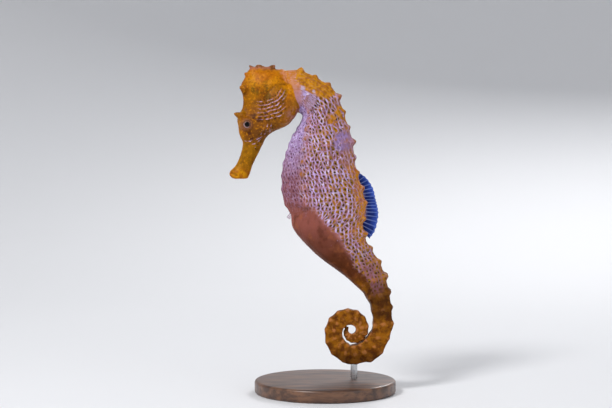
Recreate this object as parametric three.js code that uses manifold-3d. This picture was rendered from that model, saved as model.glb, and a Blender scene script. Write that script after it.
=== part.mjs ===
// A male longsnout seahorse, life size, as a still model on a plain display stand.
// Millimetres, +Z up. The animal looks along -X and its left flank faces -Y.
// The body is lofted whole, then parted by thin cuts into the pieces a person would name.
import * as THREE from 'three';
import { mergeVertices } from 'three/addons/utils/BufferGeometryUtils.js';
import Module from 'manifold-3d';

const wasm = await Module();
wasm.setup();

// ---------------------------------------------------------------- driving dimensions

const GAP = 0.3; // clearance between neighbouring solids
const TRUNK_PITCH = 5.47; // one bony ring of the trunk, measured along the back
const TAIL_PITCH = 5.6; // one bony ring of the tail, before the coil shortens them
const FIRST_RING_AT = 3.6; // where the first ring starts, from the nape, along the back
const TRUNK_RINGS = 11;
const BODY_STARTS_AT_RING = -0.6; // inside the head
const EVEN_RINGS = 19; // the last ring that keeps the full pitch
const ALL_RINGS = 43;
const POUCH_ENDS_AT_RING = 16;
const TALL_EVERY = 3; // every third ring carries taller tubercles
const TALL_TUBERCLE = 1.3;
const LOW_TUBERCLE = 0.8;
const KEEL_SHARE = 0.25; // of a back tubercle's height, on the belly's keel
const FLANK_SHARE = 0.5;
const GROOVE_DEPTH = 0.3; // between two rings

// The coil is a logarithmic spiral round the animal's own origin.
const COIL_START_RADIUS = 8.4; // to the middle of the tail, straight below the centre
const COIL_DECAY = 0.1845; // per radian
const COIL_DEGREES = 505; // from straight below the centre to the tip
const COIL_HALF_DEPTH = 3.15;
const COIL_TAPER_DEGREES = 535;
const COIL_TAPER_POWER = 1.6;
const TAIL_WIDTH_TO_DEPTH = 0.92;
const LEAST_HALF_DEPTH = 0.36; // at the tail's tip

const EYE = { radius: 1.9, x: -36.8, y: 3.5, z: 72.8 };
const ORBIT = { radius: 2.75, y: 2.5 }; // the raised rim that the eye sits in

const BASE = { radius: 25, height: 4.5, bevel: 0.8, x: 4.4 };
const ROD = { radius: 1.2, into: 1.3, x: 14.6 };
const TAIL_ABOVE_BASE = 5.5; // free length of the rod
const TAIL_BOTTOM = -11.9; // lowest point of the coil's outer turn, from the coil's centre
const ANIMAL_X = 13.8; // brings the middle of the whole model's box to x = 0

// Ribs run from the back to the belly, from the nape down to the start of the coil.
// Each is [back x, back z, belly x, belly z, half width], from the coil's centre.
const RIBS = [
  [-24.4, 91.8, -18.6, 76.7, 5.2], // nape, inside the head
  [-18.3, 91.5, -17.5, 76.1, 5.7],
  [-12.1, 88.8, -17.5, 75.2, 6.1],
  [-6.8, 85.1, -18.3, 73.2, 6.5],
  [-4.0, 79.6, -19.9, 70.4, 6.9],
  [-2.1, 73.6, -21.8, 66.9, 7.3],
  [-0.2, 67.4, -22.9, 63.3, 7.6],
  [1.1, 58.0, -24.5, 56.6, 7.9],
  [3.9, 47.8, -24.3, 47.2, 8.0],
  [4.6, 42.4, -21.7, 41.2, 7.6], // end of the trunk, top of the brood pouch
  [3.6, 37.6, -20.3, 35.4, 7.3],
  [5.2, 31.2, -12.4, 26.8, 6.2],
  [10.0, 23.4, -2.0, 18.9, 4.8],
  [12.9, 14.0, 5.1, 11.6, 3.9], // end of the pouch
  [14.0, 4.6, 7.3, 3.9, 3.5],
  [13.8, 0.0, 6.9, 0.0, 3.45],
  [9.1, -9.1, 3.8, -3.8, 3.3],
];

// Corners of a section from mid back to mid belly: [towards the back, sideways], as shares of
// the half depth and half width. Ridges and facets take turns, and the other side mirrors them.
const SECTIONS = {
  trunk: [[0.95, 0], [1, 0.44], [0.7, 0.8], [0.28, 1], [-0.1, 0.96], [-0.45, 0.82], [-0.76, 0.46], [-1, 0]],
  pouch: [[0.95, 0], [1, 0.5], [0.68, 0.82], [0.25, 0.95], [-0.2, 1], [-0.6, 0.86], [-0.88, 0.52], [-1, 0]],
  tail: [[0.9, 0], [1, 0.8], [0.5, 0.92], [0, 0.94], [-0.5, 0.94], [-0.96, 0.84], [-0.95, 0.42], [-0.94, 0]],
};
const RIDGES = [1, 3, 5, 7]; // corners that carry tubercles

// Level cuts through the head, from the crown down to the lips:
// [height, front x, rear x, half width, how far the widest place sits to the rear].
const HEAD_LEVELS = [
  [92.2, -36.2, -25.2, 2.0, 0],
  [91.2, -37.0, -23.4, 2.7, 0],
  [89.4, -37.7, -22.0, 3.6, 0.1],
  [87.3, -38.9, -20.7, 4.4, 0.2],
  [85.4, -39.3, -19.6, 4.8, 0.25],
  [84.0, -38.8, -18.9, 5.0, 0.25],
  [81.5, -38.3, -18.1, 5.3, 0.3],
  [78.7, -38.6, -18.3, 5.4, 0.3],
  [76.8, -39.6, -19.5, 5.2, 0.25],
  [74.4, -40.5, -20.9, 4.8, 0.15],
  [72.4, -40.1, -22.9, 4.5, 0.05],
  [70.2, -39.9, -27.8, 4.0, 0],
  [68.2, -39.3, -30.2, 3.4, 0],
  [66.3, -38.5, -31.2, 2.9, 0],
  [63.4, -39.0, -32.6, 2.4, 0],
  [60.4, -40.0, -34.1, 2.1, 0],
  [57.9, -41.5, -35.2, 2.1, 0],
  [56.4, -43.0, -35.6, 2.3, 0],
  [54.9, -43.2, -36.2, 2.4, 0],
  [53.7, -42.0, -36.8, 1.9, 0],
];
const HEAD_POINTS = 16;

// The gill cover, a low shield on each cheek.
const GILL_COVER = { x: -25.2, y: 3.1, z: 79.6, length: 6.6, bulge: 3.3, height: 7.2, tilt: 32 };

// The crown: a low flared ring of blunt points.
const CORONET = { x: -31.3, bottom: 90.8, top: 93.9, length: 4.7, halfWidth: 3.3, points: 5, notch: 0.22 };

// Cones on the head: [root x, y, z], [tip x, y, z], root radius.
const HEAD_SPINES = [
  [[-38.2, 1.9, 75.4], [-41.7, 2.5, 76.8], 1.5], // over the eye
  [[-37.4, 1.5, 84.6], [-40.1, 1.8, 86.0], 1.6], // forehead
  [[-29.5, 3.8, 71.6], [-28.9, 5.6, 70.7], 1.2], // cheek
];

// The dorsal fin: ring counts where it starts and ends, and its heights in between.
const DORSAL_FIN = {
  from: 8.8,
  to: 12.2,
  heights: [1.2, 3.0, 4.1, 4.2, 4.5, 5.0, 5.3, 4.6],
  rays: 18,
  thickness: 0.6,
  sweep: 0.42,
};
const PECTORAL_FIN = { x: -16.6, y: 5.9, z: 81.6, length: 4.6, root: 1.3, spread: 95, thickness: 0.5, flare: 24, aim: -22 };
const ANAL_FIN = { x: -21.6, z: 41.0, length: 1.7, root: 0.6, spread: 50, thickness: 0.5, aim: -126 };

// Thin walls that part the whole body, each a smooth line of [x, z] points.
const CUTS = {
  head_from_neck: [[-24.8, 95.0], [-23.4, 91.6], [-20.8, 88.0], [-18.2, 84.0], [-17.3, 80.0], [-18.4, 74.5]],
  snout_from_head: [[-43.0, 67.5], [-36.0, 66.4], [-27.5, 67.9]],
  coronet_from_head: [[-42.0, 90.6], [-31.0, 90.2], [-22.5, 90.6]],
  pouch_from_tail: [[-16.2, 42.3], [-14.5, 40.7], [-9.0, 37.6], [-5.0, 31.6], [-1.2, 26.0], [2.4, 20.2], [4.4, 16.4], [3.4, 14.6], [0.5, 13.2]],
};
const CUT_AT_RINGS = [2, 11, 16, 19, 24, 29, 34];

// A point [x, z] inside each piece of flesh, which gives the piece its name.
const PIECES = {
  head: [-30, 80],
  snout: [-37, 60],
  coronet: [-31, 91.4],
  neck: [-14, 84],
  trunk: [-10, 60],
  brood_pouch: [-14, 34],
  tail_base: [3, 30],
  tail_shank: [10.3, 3],
  tail_bend: [6.3, -6.3],
  tail_coil_outer: [-5.6, -3.5],
  tail_coil_top: [0, 4.7],
  tail_coil_inner: [0.6, -2.7],
};

const COLOURS = {
  yellow: 0xc8860a,
  lilac: 0xb09aa8,
  pouch: 0x9c5a34,
  brown: 0x94591a,
  fin: 0x24408c,
  clear: 0xb9a9c4,
  eye: 0x161218,
  wood: 0x2c211b,
  steel: 0x9a9ea3,
};

// ---------------------------------------------------------------- curves and sections

// A uniform Catmull-Rom value between the rows of a table.
function between(rows, at, column) {
  const last = rows.length - 1;
  const i = Math.min(Math.max(Math.floor(at), 0), last - 1);
  const f = at - i;
  const row = (k) => rows[Math.min(Math.max(k, 0), last)][column];
  const [a, b, c, d] = [row(i - 1), row(i), row(i + 1), row(i + 2)];
  return b + 0.5 * f * (c - a + f * (2 * a - 5 * b + 4 * c - d + f * (3 * (b - c) + d - a)));
}

function smoothstep(low, high, x) {
  return THREE.MathUtils.smoothstep(x, low, high);
}

// Ribs of the coil, every 15 degrees from straight below its centre, going round by the front.
function coilRibs() {
  const ribs = [];
  for (let turned = 0; turned <= COIL_DEGREES; turned += 15) {
    const angle = THREE.MathUtils.degToRad(-90 - turned);
    const radius = COIL_START_RADIUS * Math.exp(-COIL_DECAY * THREE.MathUtils.degToRad(turned));
    const taper = 1 - Math.pow(turned / COIL_TAPER_DEGREES, COIL_TAPER_POWER);
    const half = Math.max(COIL_HALF_DEPTH * taper, LEAST_HALF_DEPTH);
    const [c, s] = [Math.cos(angle), Math.sin(angle)];
    const [outer, inner] = [radius + half, radius - half];
    ribs.push([outer * c, outer * s, inner * c, inner * s, half * TAIL_WIDTH_TO_DEPTH]);
  }
  return ribs;
}

const ribs = [...RIBS, ...coilRibs()];

// Length along the back up to each small step of the ribs.
const STEPS_PER_RIB = 12;
const backLengths = [0];
for (let i = 1; i <= (ribs.length - 1) * STEPS_PER_RIB; i += 1) {
  const [a, b] = [(i - 1) / STEPS_PER_RIB, i / STEPS_PER_RIB];
  const dx = between(ribs, b, 0) - between(ribs, a, 0);
  const dz = between(ribs, b, 1) - between(ribs, a, 1);
  backLengths.push(backLengths[i - 1] + Math.hypot(dx, dz));
}

// Where a ring count lies, as a place among the ribs. Rings shorten towards the tip.
function placeOfRing(ring) {
  const inTrunk = Math.min(ring, TRUNK_RINGS);
  const inTail = Math.min(Math.max(ring - TRUNK_RINGS, 0), EVEN_RINGS - TRUNK_RINGS);
  const even = FIRST_RING_AT + inTrunk * TRUNK_PITCH + inTail * TAIL_PITCH;
  const over = Math.min(Math.max(ring - EVEN_RINGS, 0) / (ALL_RINGS - EVEN_RINGS), 1);
  const left = over > 0 ? backLengths.at(-1) - even : 0;
  const power = ((ALL_RINGS - EVEN_RINGS) * TAIL_PITCH) / (left || 1);
  const length = even + left * (1 - Math.pow(1 - over, power));
  const i = Math.max(backLengths.findIndex((l) => l >= length), 1);
  const share = (length - backLengths[i - 1]) / (backLengths[i] - backLengths[i - 1]);
  return Math.max(i - 1 + share, 0) / STEPS_PER_RIB;
}

function ribAt(ring) {
  const at = placeOfRing(ring);
  const [bx, bz, vx, vz, halfWidth] = [0, 1, 2, 3, 4].map((column) => between(ribs, at, column));
  const middle = new THREE.Vector2((bx + vx) / 2, (bz + vz) / 2);
  const up = new THREE.Vector2(bx - vx, bz - vz);
  const halfDepth = up.length() / 2;
  return { middle, up: up.normalize(), halfDepth, halfWidth };
}

// How far a corner stands out at this ring count: grooves between rings, tubercles on ridges.
function relief(ring, corner) {
  if (ring < 0) return 0;
  const number = Math.floor(ring);
  const crest = Math.max(0, 1 - Math.abs(ring - number - 0.5) / 0.3);
  const small = Math.min(1, ribAt(ring).halfDepth / 4) * (ring > ALL_RINGS - 3 ? 0.4 : 1);
  const inPouch = ring > TRUNK_RINGS && ring < POUCH_ENDS_AT_RING && corner >= 4;
  const onKeel = corner === 7;
  if (inPouch || (onKeel && ring > TRUNK_RINGS)) return 0;
  const tall = number % TALL_EVERY === 0 ? TALL_TUBERCLE : LOW_TUBERCLE;
  const tubercle = tall * (corner === 1 ? 1 : FLANK_SHARE) * (onKeel ? KEEL_SHARE : 1);
  const height = RIDGES.includes(corner) ? tubercle : 0.25;
  return small * (crest * (height + GROOVE_DEPTH) - GROOVE_DEPTH);
}

// The closed loop of a section, grown by a clearance.
function sectionAt(ring, grow = 0) {
  const { middle, up, halfDepth, halfWidth } = ribAt(ring);
  const toPouch = smoothstep(TRUNK_RINGS - 0.8, TRUNK_RINGS + 1.5, ring);
  const toTail = smoothstep(EVEN_RINGS - 4, EVEN_RINGS + 1, ring);
  const side = SECTIONS.trunk.map((corner, i) => corner.map((value, k) => {
    const smooth = THREE.MathUtils.lerp(value, SECTIONS.pouch[i][k], toPouch);
    return THREE.MathUtils.lerp(smooth, SECTIONS.tail[i][k], toTail);
  }));
  const loop = side.map(([u, v], i) => {
    const out = relief(ring, i) + grow;
    const length = Math.hypot(u, v);
    return [u * halfDepth + (out * u) / length, v * halfWidth + (out * v) / length];
  });
  const mirrored = loop.slice(1, -1).reverse().map(([u, v]) => [u, -v]);
  return [...loop, ...mirrored].map(
    ([u, v]) => new THREE.Vector3(middle.x + up.x * u, v, middle.y + up.y * u),
  );
}

// ---------------------------------------------------------------- solids

function solidOf(geometry) {
  const bare = geometry.clone();
  Object.keys(bare.attributes)
    .filter((name) => name !== 'position')
    .forEach((name) => bare.deleteAttribute(name));
  const merged = mergeVertices(bare, 1e-4);
  return new wasm.Manifold(new wasm.Mesh({
    numProp: 3,
    vertProperties: merged.attributes.position.array,
    triVerts: new Uint32Array(merged.index.array),
  }));
}

function geometryOf(solid) {
  const { vertProperties, triVerts, numProp } = solid.getMesh();
  const geometry = new THREE.BufferGeometry();
  const places = [];
  for (let i = 0; i < vertProperties.length; i += numProp) {
    places.push(vertProperties[i], vertProperties[i + 1], vertProperties[i + 2]);
  }
  geometry.setAttribute('position', new THREE.Float32BufferAttribute(places, 3));
  geometry.setIndex([...triVerts]);
  geometry.computeVertexNormals();
  return geometry;
}

// A closed skin over loops of equal count, with a fan at each end.
function loft(loops) {
  const count = loops[0].length;
  const places = loops.flat().flatMap((p) => [p.x, p.y, p.z]);
  const index = [];
  for (let i = 0; i + 1 < loops.length; i += 1) {
    for (let j = 0; j < count; j += 1) {
      const [a, b] = [i * count + j, i * count + ((j + 1) % count)];
      index.push(a, a + count, b, b, a + count, b + count);
    }
  }
  for (const [loop, start, flip] of [[loops[0], 0, false], [loops.at(-1), (loops.length - 1) * count, true]]) {
    const centre = loop.reduce((sum, p) => sum.add(p), new THREE.Vector3()).divideScalar(count);
    const hub = places.length / 3;
    places.push(centre.x, centre.y, centre.z);
    for (let j = 0; j < count; j += 1) {
      const [a, b] = [start + j, start + ((j + 1) % count)];
      index.push(...(flip ? [hub, b, a] : [hub, a, b]));
    }
  }
  const geometry = new THREE.BufferGeometry();
  geometry.setAttribute('position', new THREE.Float32BufferAttribute(places, 3));
  geometry.setIndex(index);
  return geometry;
}

// The body between two ring counts: a groove, a crest and a groove for each ring.
function bodySolid(from, to, grow = 0) {
  const rings = [from];
  for (let number = Math.floor(from); number < to; number += 1) {
    for (const share of number < EVEN_RINGS ? [0.2, 0.5, 0.8] : [0, 0.5]) {
      const ring = number + share;
      if (ring > from + 0.05 && ring < to - 0.05) rings.push(ring);
    }
  }
  rings.push(to);
  return solidOf(loft(rings.map((ring) => sectionAt(ring, grow))));
}

function headSolid() {
  const loops = HEAD_LEVELS.map(([z, front, rear, halfWidth, skew]) => {
    const [middle, half] = [(front + rear) / 2, (rear - front) / 2];
    return Array.from({ length: HEAD_POINTS }, (_, i) => {
      const angle = (i / HEAD_POINTS) * Math.PI * 2;
      const wide = Math.sin(angle) * (1 + skew * Math.cos(angle));
      return new THREE.Vector3(middle + half * Math.cos(angle), halfWidth * wide, z);
    });
  });
  return solidOf(loft(loops));
}

function coronetSolid() {
  const levels = [[CORONET.bottom - 2.4, 0.8], [CORONET.bottom, 0.92], [CORONET.top, 1.12], [CORONET.top - 0.9, 0.45]];
  const count = CORONET.points * 4;
  const loops = levels.map(([z, flare], level) => Array.from({ length: count }, (_, i) => {
    const angle = (i / count) * Math.PI * 2;
    const point = 0.5 + 0.5 * Math.cos(CORONET.points * angle - Math.PI);
    const reach = flare * (1 - CORONET.notch * (1 - point) * (level / 3));
    const dip = level === 2 ? 0.9 * (1 - point) : 0;
    const x = CORONET.x + CORONET.length * reach * Math.cos(angle);
    return new THREE.Vector3(x, CORONET.halfWidth * reach * Math.sin(angle), z - dip);
  }));
  return solidOf(loft(loops.reverse()));
}

function gillCoverSolid(side) {
  const { x, y, z, length, bulge, height, tilt } = GILL_COVER;
  const shield = new THREE.SphereGeometry(1, 14, 8).scale(length, bulge, height);
  shield.rotateY(THREE.MathUtils.degToRad(tilt));
  return solidOf(shield.translate(x, side * y, z));
}

function orbitSolid(side) {
  const rim = new THREE.SphereGeometry(ORBIT.radius, 12, 8);
  return solidOf(rim.translate(EYE.x, side * ORBIT.y, EYE.z));
}

// A cone from its root to its tip, mirrored to both sides of the body.
function spineSolids([root, tip, radius]) {
  const [from, to] = [new THREE.Vector3(...root), new THREE.Vector3(...tip)];
  const reach = to.clone().sub(from);
  const cone = new THREE.CylinderGeometry(0.25, radius, reach.length(), 6);
  const turn = new THREE.Quaternion().setFromUnitVectors(new THREE.Vector3(0, 1, 0), reach.normalize());
  cone.applyQuaternion(turn);
  cone.translate(...from.add(to).divideScalar(2).toArray());
  const solid = solidOf(cone);
  return [solid, solid.mirror([0, 1, 0])];
}

// A thin wall along a smooth line in the XZ plane, as deep as the whole animal.
function wall(points, thickness = GAP) {
  const curve = new THREE.SplineCurve(points.map((p) => new THREE.Vector2(...p)));
  const line = curve.getSpacedPoints(points.length * 4);
  const sides = [1, -1].map((sign) => line.map((p, i) => {
    const along = line[Math.min(i + 1, line.length - 1)].clone().sub(line[Math.max(i - 1, 0)]).normalize();
    return p.clone().add(new THREE.Vector2(-along.y, along.x).multiplyScalar((sign * thickness) / 2));
  }));
  const shape = new THREE.Shape([...sides[0], ...sides[1].reverse()]);
  return solidOf(extrudeAcross(shape, 30));
}

// Extrudes a shape drawn in X and Z along Y, centred on the mid plane.
function extrudeAcross(shape, depth) {
  const geometry = new THREE.ExtrudeGeometry(shape, { depth, bevelEnabled: false });
  geometry.translate(0, 0, -depth / 2);
  geometry.rotateX(Math.PI / 2);
  return geometry;
}

// A wall across one length of the body, just wide enough to pass its relief. Inside the coil it
// stays clear of the next turn.
function ringWall(ring) {
  const { middle, up, halfDepth } = ribAt(ring);
  const reach = halfDepth + (ring < EVEN_RINGS ? 2.5 : 0.35);
  const end = (sign) => middle.clone().add(up.clone().multiplyScalar(sign * reach)).toArray();
  return wall([end(1), end(-1)]);
}

function eyeGeometry(grow = 0) {
  return new THREE.SphereGeometry(EYE.radius + grow, 14, 8);
}

function eyeSolid(side, grow = 0) {
  return solidOf(eyeGeometry(grow).translate(EYE.x, side * EYE.y, EYE.z));
}

// ---------------------------------------------------------------- fins and stand

// The dorsal fin stands on the mid back; its edge follows the back at a rising and falling height.
function dorsalFinSolid() {
  const { from, to, heights, rays, thickness, sweep } = DORSAL_FIN;
  const rises = heights.map((height) => [height]);
  const [foot, edge] = [[], []];
  for (let i = 0; i <= rays; i += 1) {
    const share = i / rays;
    const { middle, up, halfDepth } = ribAt(from + (to - from) * share);
    const along = new THREE.Vector2(up.y, -up.x).multiplyScalar(sweep * (2 * share - 1));
    const lean = up.clone().add(along).normalize();
    const rise = between(rises, share * (heights.length - 1), 0);
    const root = middle.clone().add(up.clone().multiplyScalar(halfDepth * 0.9));
    foot.push(root);
    edge.push(root.clone().add(lean.multiplyScalar(rise + halfDepth * 0.1)));
  }
  const fin = solidOf(extrudeAcross(new THREE.Shape([...foot, ...edge.reverse()]), thickness));
  return fin.subtract(bodySolid(from - 1.3, to + 1.3, GAP));
}

// A fan from a short root, drawn in the XZ plane and aimed by an angle from +X.
function fanGeometry({ length, root, spread, thickness }) {
  const half = THREE.MathUtils.degToRad(spread / 2);
  const shape = new THREE.Shape();
  shape.moveTo(0, -root);
  shape.absarc(0, 0, length, -half, half, false);
  shape.lineTo(0, root);
  return extrudeAcross(shape, thickness);
}

function pectoralFinSolid(side) {
  const { x, y, z, flare, aim } = PECTORAL_FIN;
  const fan = fanGeometry(PECTORAL_FIN);
  fan.rotateZ(THREE.MathUtils.degToRad(side * flare));
  fan.rotateY(THREE.MathUtils.degToRad(-aim));
  fan.translate(x, side * y, z);
  return solidOf(fan).subtract(bodySolid(-0.6, 4, GAP)).subtract(headSolid());
}

function analFinSolid() {
  const fan = fanGeometry(ANAL_FIN);
  fan.rotateY(THREE.MathUtils.degToRad(-ANAL_FIN.aim));
  fan.translate(ANAL_FIN.x, 0, ANAL_FIN.z);
  return solidOf(fan).subtract(bodySolid(9.2, 13.5, GAP));
}

function baseGeometry() {
  const { radius, height, bevel } = BASE;
  const profile = [[0, 0], [radius - bevel, 0], [radius, bevel], [radius, height - bevel], [radius - bevel, height], [0, height]];
  const lathe = new THREE.LatheGeometry(profile.map((p) => new THREE.Vector2(...p)), 64);
  return lathe.rotateX(Math.PI / 2);
}

function rodGeometry(from, to, radius) {
  const rod = new THREE.CylinderGeometry(radius, radius, to - from, 20);
  return rod.rotateX(Math.PI / 2).translate(0, 0, (from + to) / 2);
}

// ---------------------------------------------------------------- assembly

function wholeBody() {
  const spines = HEAD_SPINES.flatMap(spineSolids);
  const sides = [1, -1].flatMap((side) => [gillCoverSolid(side), orbitSolid(side)]);
  const eyes = [1, -1].map((side) => eyeSolid(side, GAP));
  const body = bodySolid(BODY_STARTS_AT_RING, ALL_RINGS);
  return wasm.Manifold.union([body, headSolid(), coronetSolid(), ...spines, ...sides])
    .subtract(wasm.Manifold.union(eyes));
}

function fleshPieces(rodX) {
  const walls = [...Object.values(CUTS).map((points) => wall(points)), ...CUT_AT_RINGS.map(ringWall)];
  const socket = solidOf(rodGeometry(TAIL_BOTTOM - 2, TAIL_BOTTOM + ROD.into + GAP, ROD.radius + GAP).translate(rodX, 0, 0));
  const parted = wholeBody().subtract(wasm.Manifold.union([...walls, socket])).decompose();
  return Object.entries(PIECES).map(([name, [x, z]]) => {
    const probe = solidOf(new THREE.BoxGeometry(0.4, 0.4, 0.4).translate(x, 0, z));
    const found = parted.find((piece) => piece.intersect(probe).volume() > 0.01);
    if (!found) throw new Error(`no piece of the body lies at the point of ${name}`);
    return [name, found];
  });
}

function material(colour, roughness, metalness = 0) {
  return new THREE.MeshStandardMaterial({ color: colour, roughness, metalness });
}

const skins = {
  yellow: material(COLOURS.yellow, 0.55),
  lilac: material(COLOURS.lilac, 0.55),
  pouch: material(COLOURS.pouch, 0.5),
  brown: material(COLOURS.brown, 0.55),
};
const SKIN_OF = {
  head: 'yellow', snout: 'yellow', coronet: 'yellow', neck: 'lilac', trunk: 'lilac', brood_pouch: 'pouch',
};

function named(name, geometry, finish) {
  const mesh = new THREE.Mesh(geometry, finish);
  mesh.name = name;
  return mesh;
}

function animal() {
  const group = new THREE.Group();
  const rodX = ROD.x - ANIMAL_X;
  for (const [name, solid] of fleshPieces(rodX)) {
    group.add(named(name, geometryOf(solid), skins[SKIN_OF[name] ?? 'brown']));
  }
  const glossy = material(COLOURS.eye, 0.12);
  const clear = material(COLOURS.clear, 0.4);
  for (const [word, side] of [['left', -1], ['right', 1]]) {
    const eye = named(`eye_${word}`, eyeGeometry(), glossy);
    eye.position.set(EYE.x, side * EYE.y, EYE.z);
    group.add(eye, named(`pectoral_fin_${word}`, geometryOf(pectoralFinSolid(side)), clear));
  }
  group.add(named('dorsal_fin', geometryOf(dorsalFinSolid()), material(COLOURS.fin, 0.4)));
  group.add(named('anal_fin', geometryOf(analFinSolid()), clear));
  group.position.set(ANIMAL_X, 0, BASE.height + TAIL_ABOVE_BASE - TAIL_BOTTOM);
  return group;
}

function stand() {
  const group = new THREE.Group();
  const base = named('stand_base', baseGeometry(), material(COLOURS.wood, 0.45));
  base.position.x = BASE.x;
  const top = BASE.height + TAIL_ABOVE_BASE + ROD.into;
  const rod = named('stand_rod', rodGeometry(BASE.height + GAP, top, ROD.radius), material(COLOURS.steel, 0.35, 1));
  rod.position.x = ROD.x;
  group.add(base, rod);
  return group;
}

const seahorse = new THREE.Group();
seahorse.add(animal(), stand());

export default seahorse;
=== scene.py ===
"""The looks of a life-size male seahorse on a display stand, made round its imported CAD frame.

Lengths are in millimetres until a mesh is made, and the animal's own origin is the centre of its
tail's coil. Its left flank faces -Y, its back +X and it looks along -X, as in the frame.
"""
import math
from functools import partialmethod
from types import SimpleNamespace

import bmesh
import bpy
import numpy as np
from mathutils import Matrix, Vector, kdtree, noise


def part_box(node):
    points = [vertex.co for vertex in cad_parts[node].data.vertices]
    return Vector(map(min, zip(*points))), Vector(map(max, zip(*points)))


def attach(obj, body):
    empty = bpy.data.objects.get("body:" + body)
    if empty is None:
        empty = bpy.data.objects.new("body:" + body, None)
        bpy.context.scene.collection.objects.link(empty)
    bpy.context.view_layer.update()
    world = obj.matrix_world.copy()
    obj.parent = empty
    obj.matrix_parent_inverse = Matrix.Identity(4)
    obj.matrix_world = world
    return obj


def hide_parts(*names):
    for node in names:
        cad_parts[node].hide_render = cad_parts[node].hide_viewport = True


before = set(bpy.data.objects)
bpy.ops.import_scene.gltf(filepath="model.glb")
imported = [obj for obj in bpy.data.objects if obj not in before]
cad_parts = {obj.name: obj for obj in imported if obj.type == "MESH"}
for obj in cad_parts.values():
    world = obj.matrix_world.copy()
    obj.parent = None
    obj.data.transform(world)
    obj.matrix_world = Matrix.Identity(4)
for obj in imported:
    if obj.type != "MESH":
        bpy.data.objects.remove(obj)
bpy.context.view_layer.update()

MM = 0.001

# ---- sizes shared with the solids

TRUNK_PITCH = 5.47
TAIL_PITCH = 5.6
FIRST_RING_AT = 3.6
TRUNK_RINGS = 11
BODY_STARTS_AT_RING = -0.6
EVEN_RINGS = 19
ALL_RINGS = 43
POUCH_ENDS_AT_RING = 16
TALL_EVERY = 3
TALL_TUBERCLE = 1.3
LOW_TUBERCLE = 0.8
KEEL_SHARE = 0.25
FLANK_SHARE = 0.5

COIL_START_RADIUS = 8.4
COIL_DECAY = 0.1845
COIL_DEGREES = 505
COIL_HALF_DEPTH = 3.15
COIL_TAPER_DEGREES = 535
COIL_TAPER_POWER = 1.6
TAIL_WIDTH_TO_DEPTH = 0.92
LEAST_HALF_DEPTH = 0.36

ANIMAL_X = 13.8
BASE_HEIGHT = 4.5
TAIL_ABOVE_BASE = 5.5
TAIL_BOTTOM = -11.9  # from the coil's centre
ANIMAL = np.array([ANIMAL_X, 0.0, BASE_HEIGHT + TAIL_ABOVE_BASE - TAIL_BOTTOM])

# Ribs from the nape to the coil: [back x, back z, belly x, belly z, half width].
RIBS = [
    [-24.4, 91.8, -18.6, 76.7, 5.2],
    [-18.3, 91.5, -17.5, 76.1, 5.7],
    [-12.1, 88.8, -17.5, 75.2, 6.1],
    [-6.8, 85.1, -18.3, 73.2, 6.5],
    [-4.0, 79.6, -19.9, 70.4, 6.9],
    [-2.1, 73.6, -21.8, 66.9, 7.3],
    [-0.2, 67.4, -22.9, 63.3, 7.6],
    [1.1, 58.0, -24.5, 56.6, 7.9],
    [3.9, 47.8, -24.3, 47.2, 8.0],
    [4.6, 42.4, -21.7, 41.2, 7.6],
    [3.6, 37.6, -20.3, 35.4, 7.3],
    [5.2, 31.2, -12.4, 26.8, 6.2],
    [10.0, 23.4, -2.0, 18.9, 4.8],
    [12.9, 14.0, 5.1, 11.6, 3.9],
    [14.0, 4.6, 7.3, 3.9, 3.5],
    [13.8, 0.0, 6.9, 0.0, 3.45],
    [9.1, -9.1, 3.8, -3.8, 3.3],
]

# Corners of a section from mid back to mid belly: [towards the back, sideways].
TRUNK_SECTION = [
    [0.95, 0], [1, 0.44], [0.7, 0.8], [0.28, 1], [-0.1, 0.96], [-0.45, 0.82], [-0.76, 0.46], [-1, 0],
]
POUCH_SECTION = [
    [0.95, 0], [1, 0.5], [0.68, 0.82], [0.25, 0.95], [-0.2, 1], [-0.6, 0.86], [-0.88, 0.52], [-1, 0],
]
TAIL_SECTION = [
    [0.9, 0], [1, 0.8], [0.5, 0.92], [0, 0.94], [-0.5, 0.94], [-0.96, 0.84], [-0.95, 0.42], [-0.94, 0],
]
CORNERS = 14  # round a whole section
KEEL_RIDGE = 7
# Rows of tubercles: the corner that each runs along, and the share of the full height that it has.
RIDGES = {1: 1, 3: FLANK_SHARE, 5: FLANK_SHARE, KEEL_RIDGE: FLANK_SHARE * KEEL_SHARE}

# Level cuts through the head: [height, front x, rear x, half width, rearward skew].
HEAD_LEVELS = [
    [92.2, -36.2, -25.2, 2.0, 0],
    [91.2, -37.0, -23.4, 2.7, 0],
    [89.4, -37.7, -22.0, 3.6, 0.1],
    [87.3, -38.9, -20.7, 4.4, 0.2],
    [85.4, -39.3, -19.6, 4.8, 0.25],
    [84.0, -38.8, -18.9, 5.0, 0.25],
    [81.5, -38.3, -18.1, 5.3, 0.3],
    [78.7, -38.6, -18.3, 5.4, 0.3],
    [76.8, -39.6, -19.5, 5.2, 0.25],
    [74.4, -40.5, -20.9, 4.8, 0.15],
    [72.4, -40.1, -22.9, 4.5, 0.05],
    [70.2, -39.9, -27.8, 4.0, 0],
    [68.2, -39.3, -30.2, 3.4, 0],
    [66.3, -38.5, -31.2, 2.9, 0],
    [63.4, -39.0, -32.6, 2.4, 0],
    [60.4, -40.0, -34.1, 2.1, 0],
    [57.9, -41.5, -35.2, 2.1, 0],
    [56.4, -43.0, -35.6, 2.3, 0],
    [54.9, -43.2, -36.2, 2.4, 0],
    [53.7, -42.0, -36.8, 1.9, 0],
]
GILL_COVER = {"at": (-25.2, 3.1, 79.6), "radii": (6.6, 3.3, 7.2), "tilt": 32}
CORONET = {
    "x": -31.3, "bottom": 90.8, "top": 93.9, "length": 4.7, "half_width": 3.3, "points": 5, "notch": 0.22,
}
EYE = {"at": (-36.8, 3.5, 72.8), "radius": 1.9}
ORBIT = {"at": (-36.8, 2.5, 72.8), "radius": 2.75}
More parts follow.
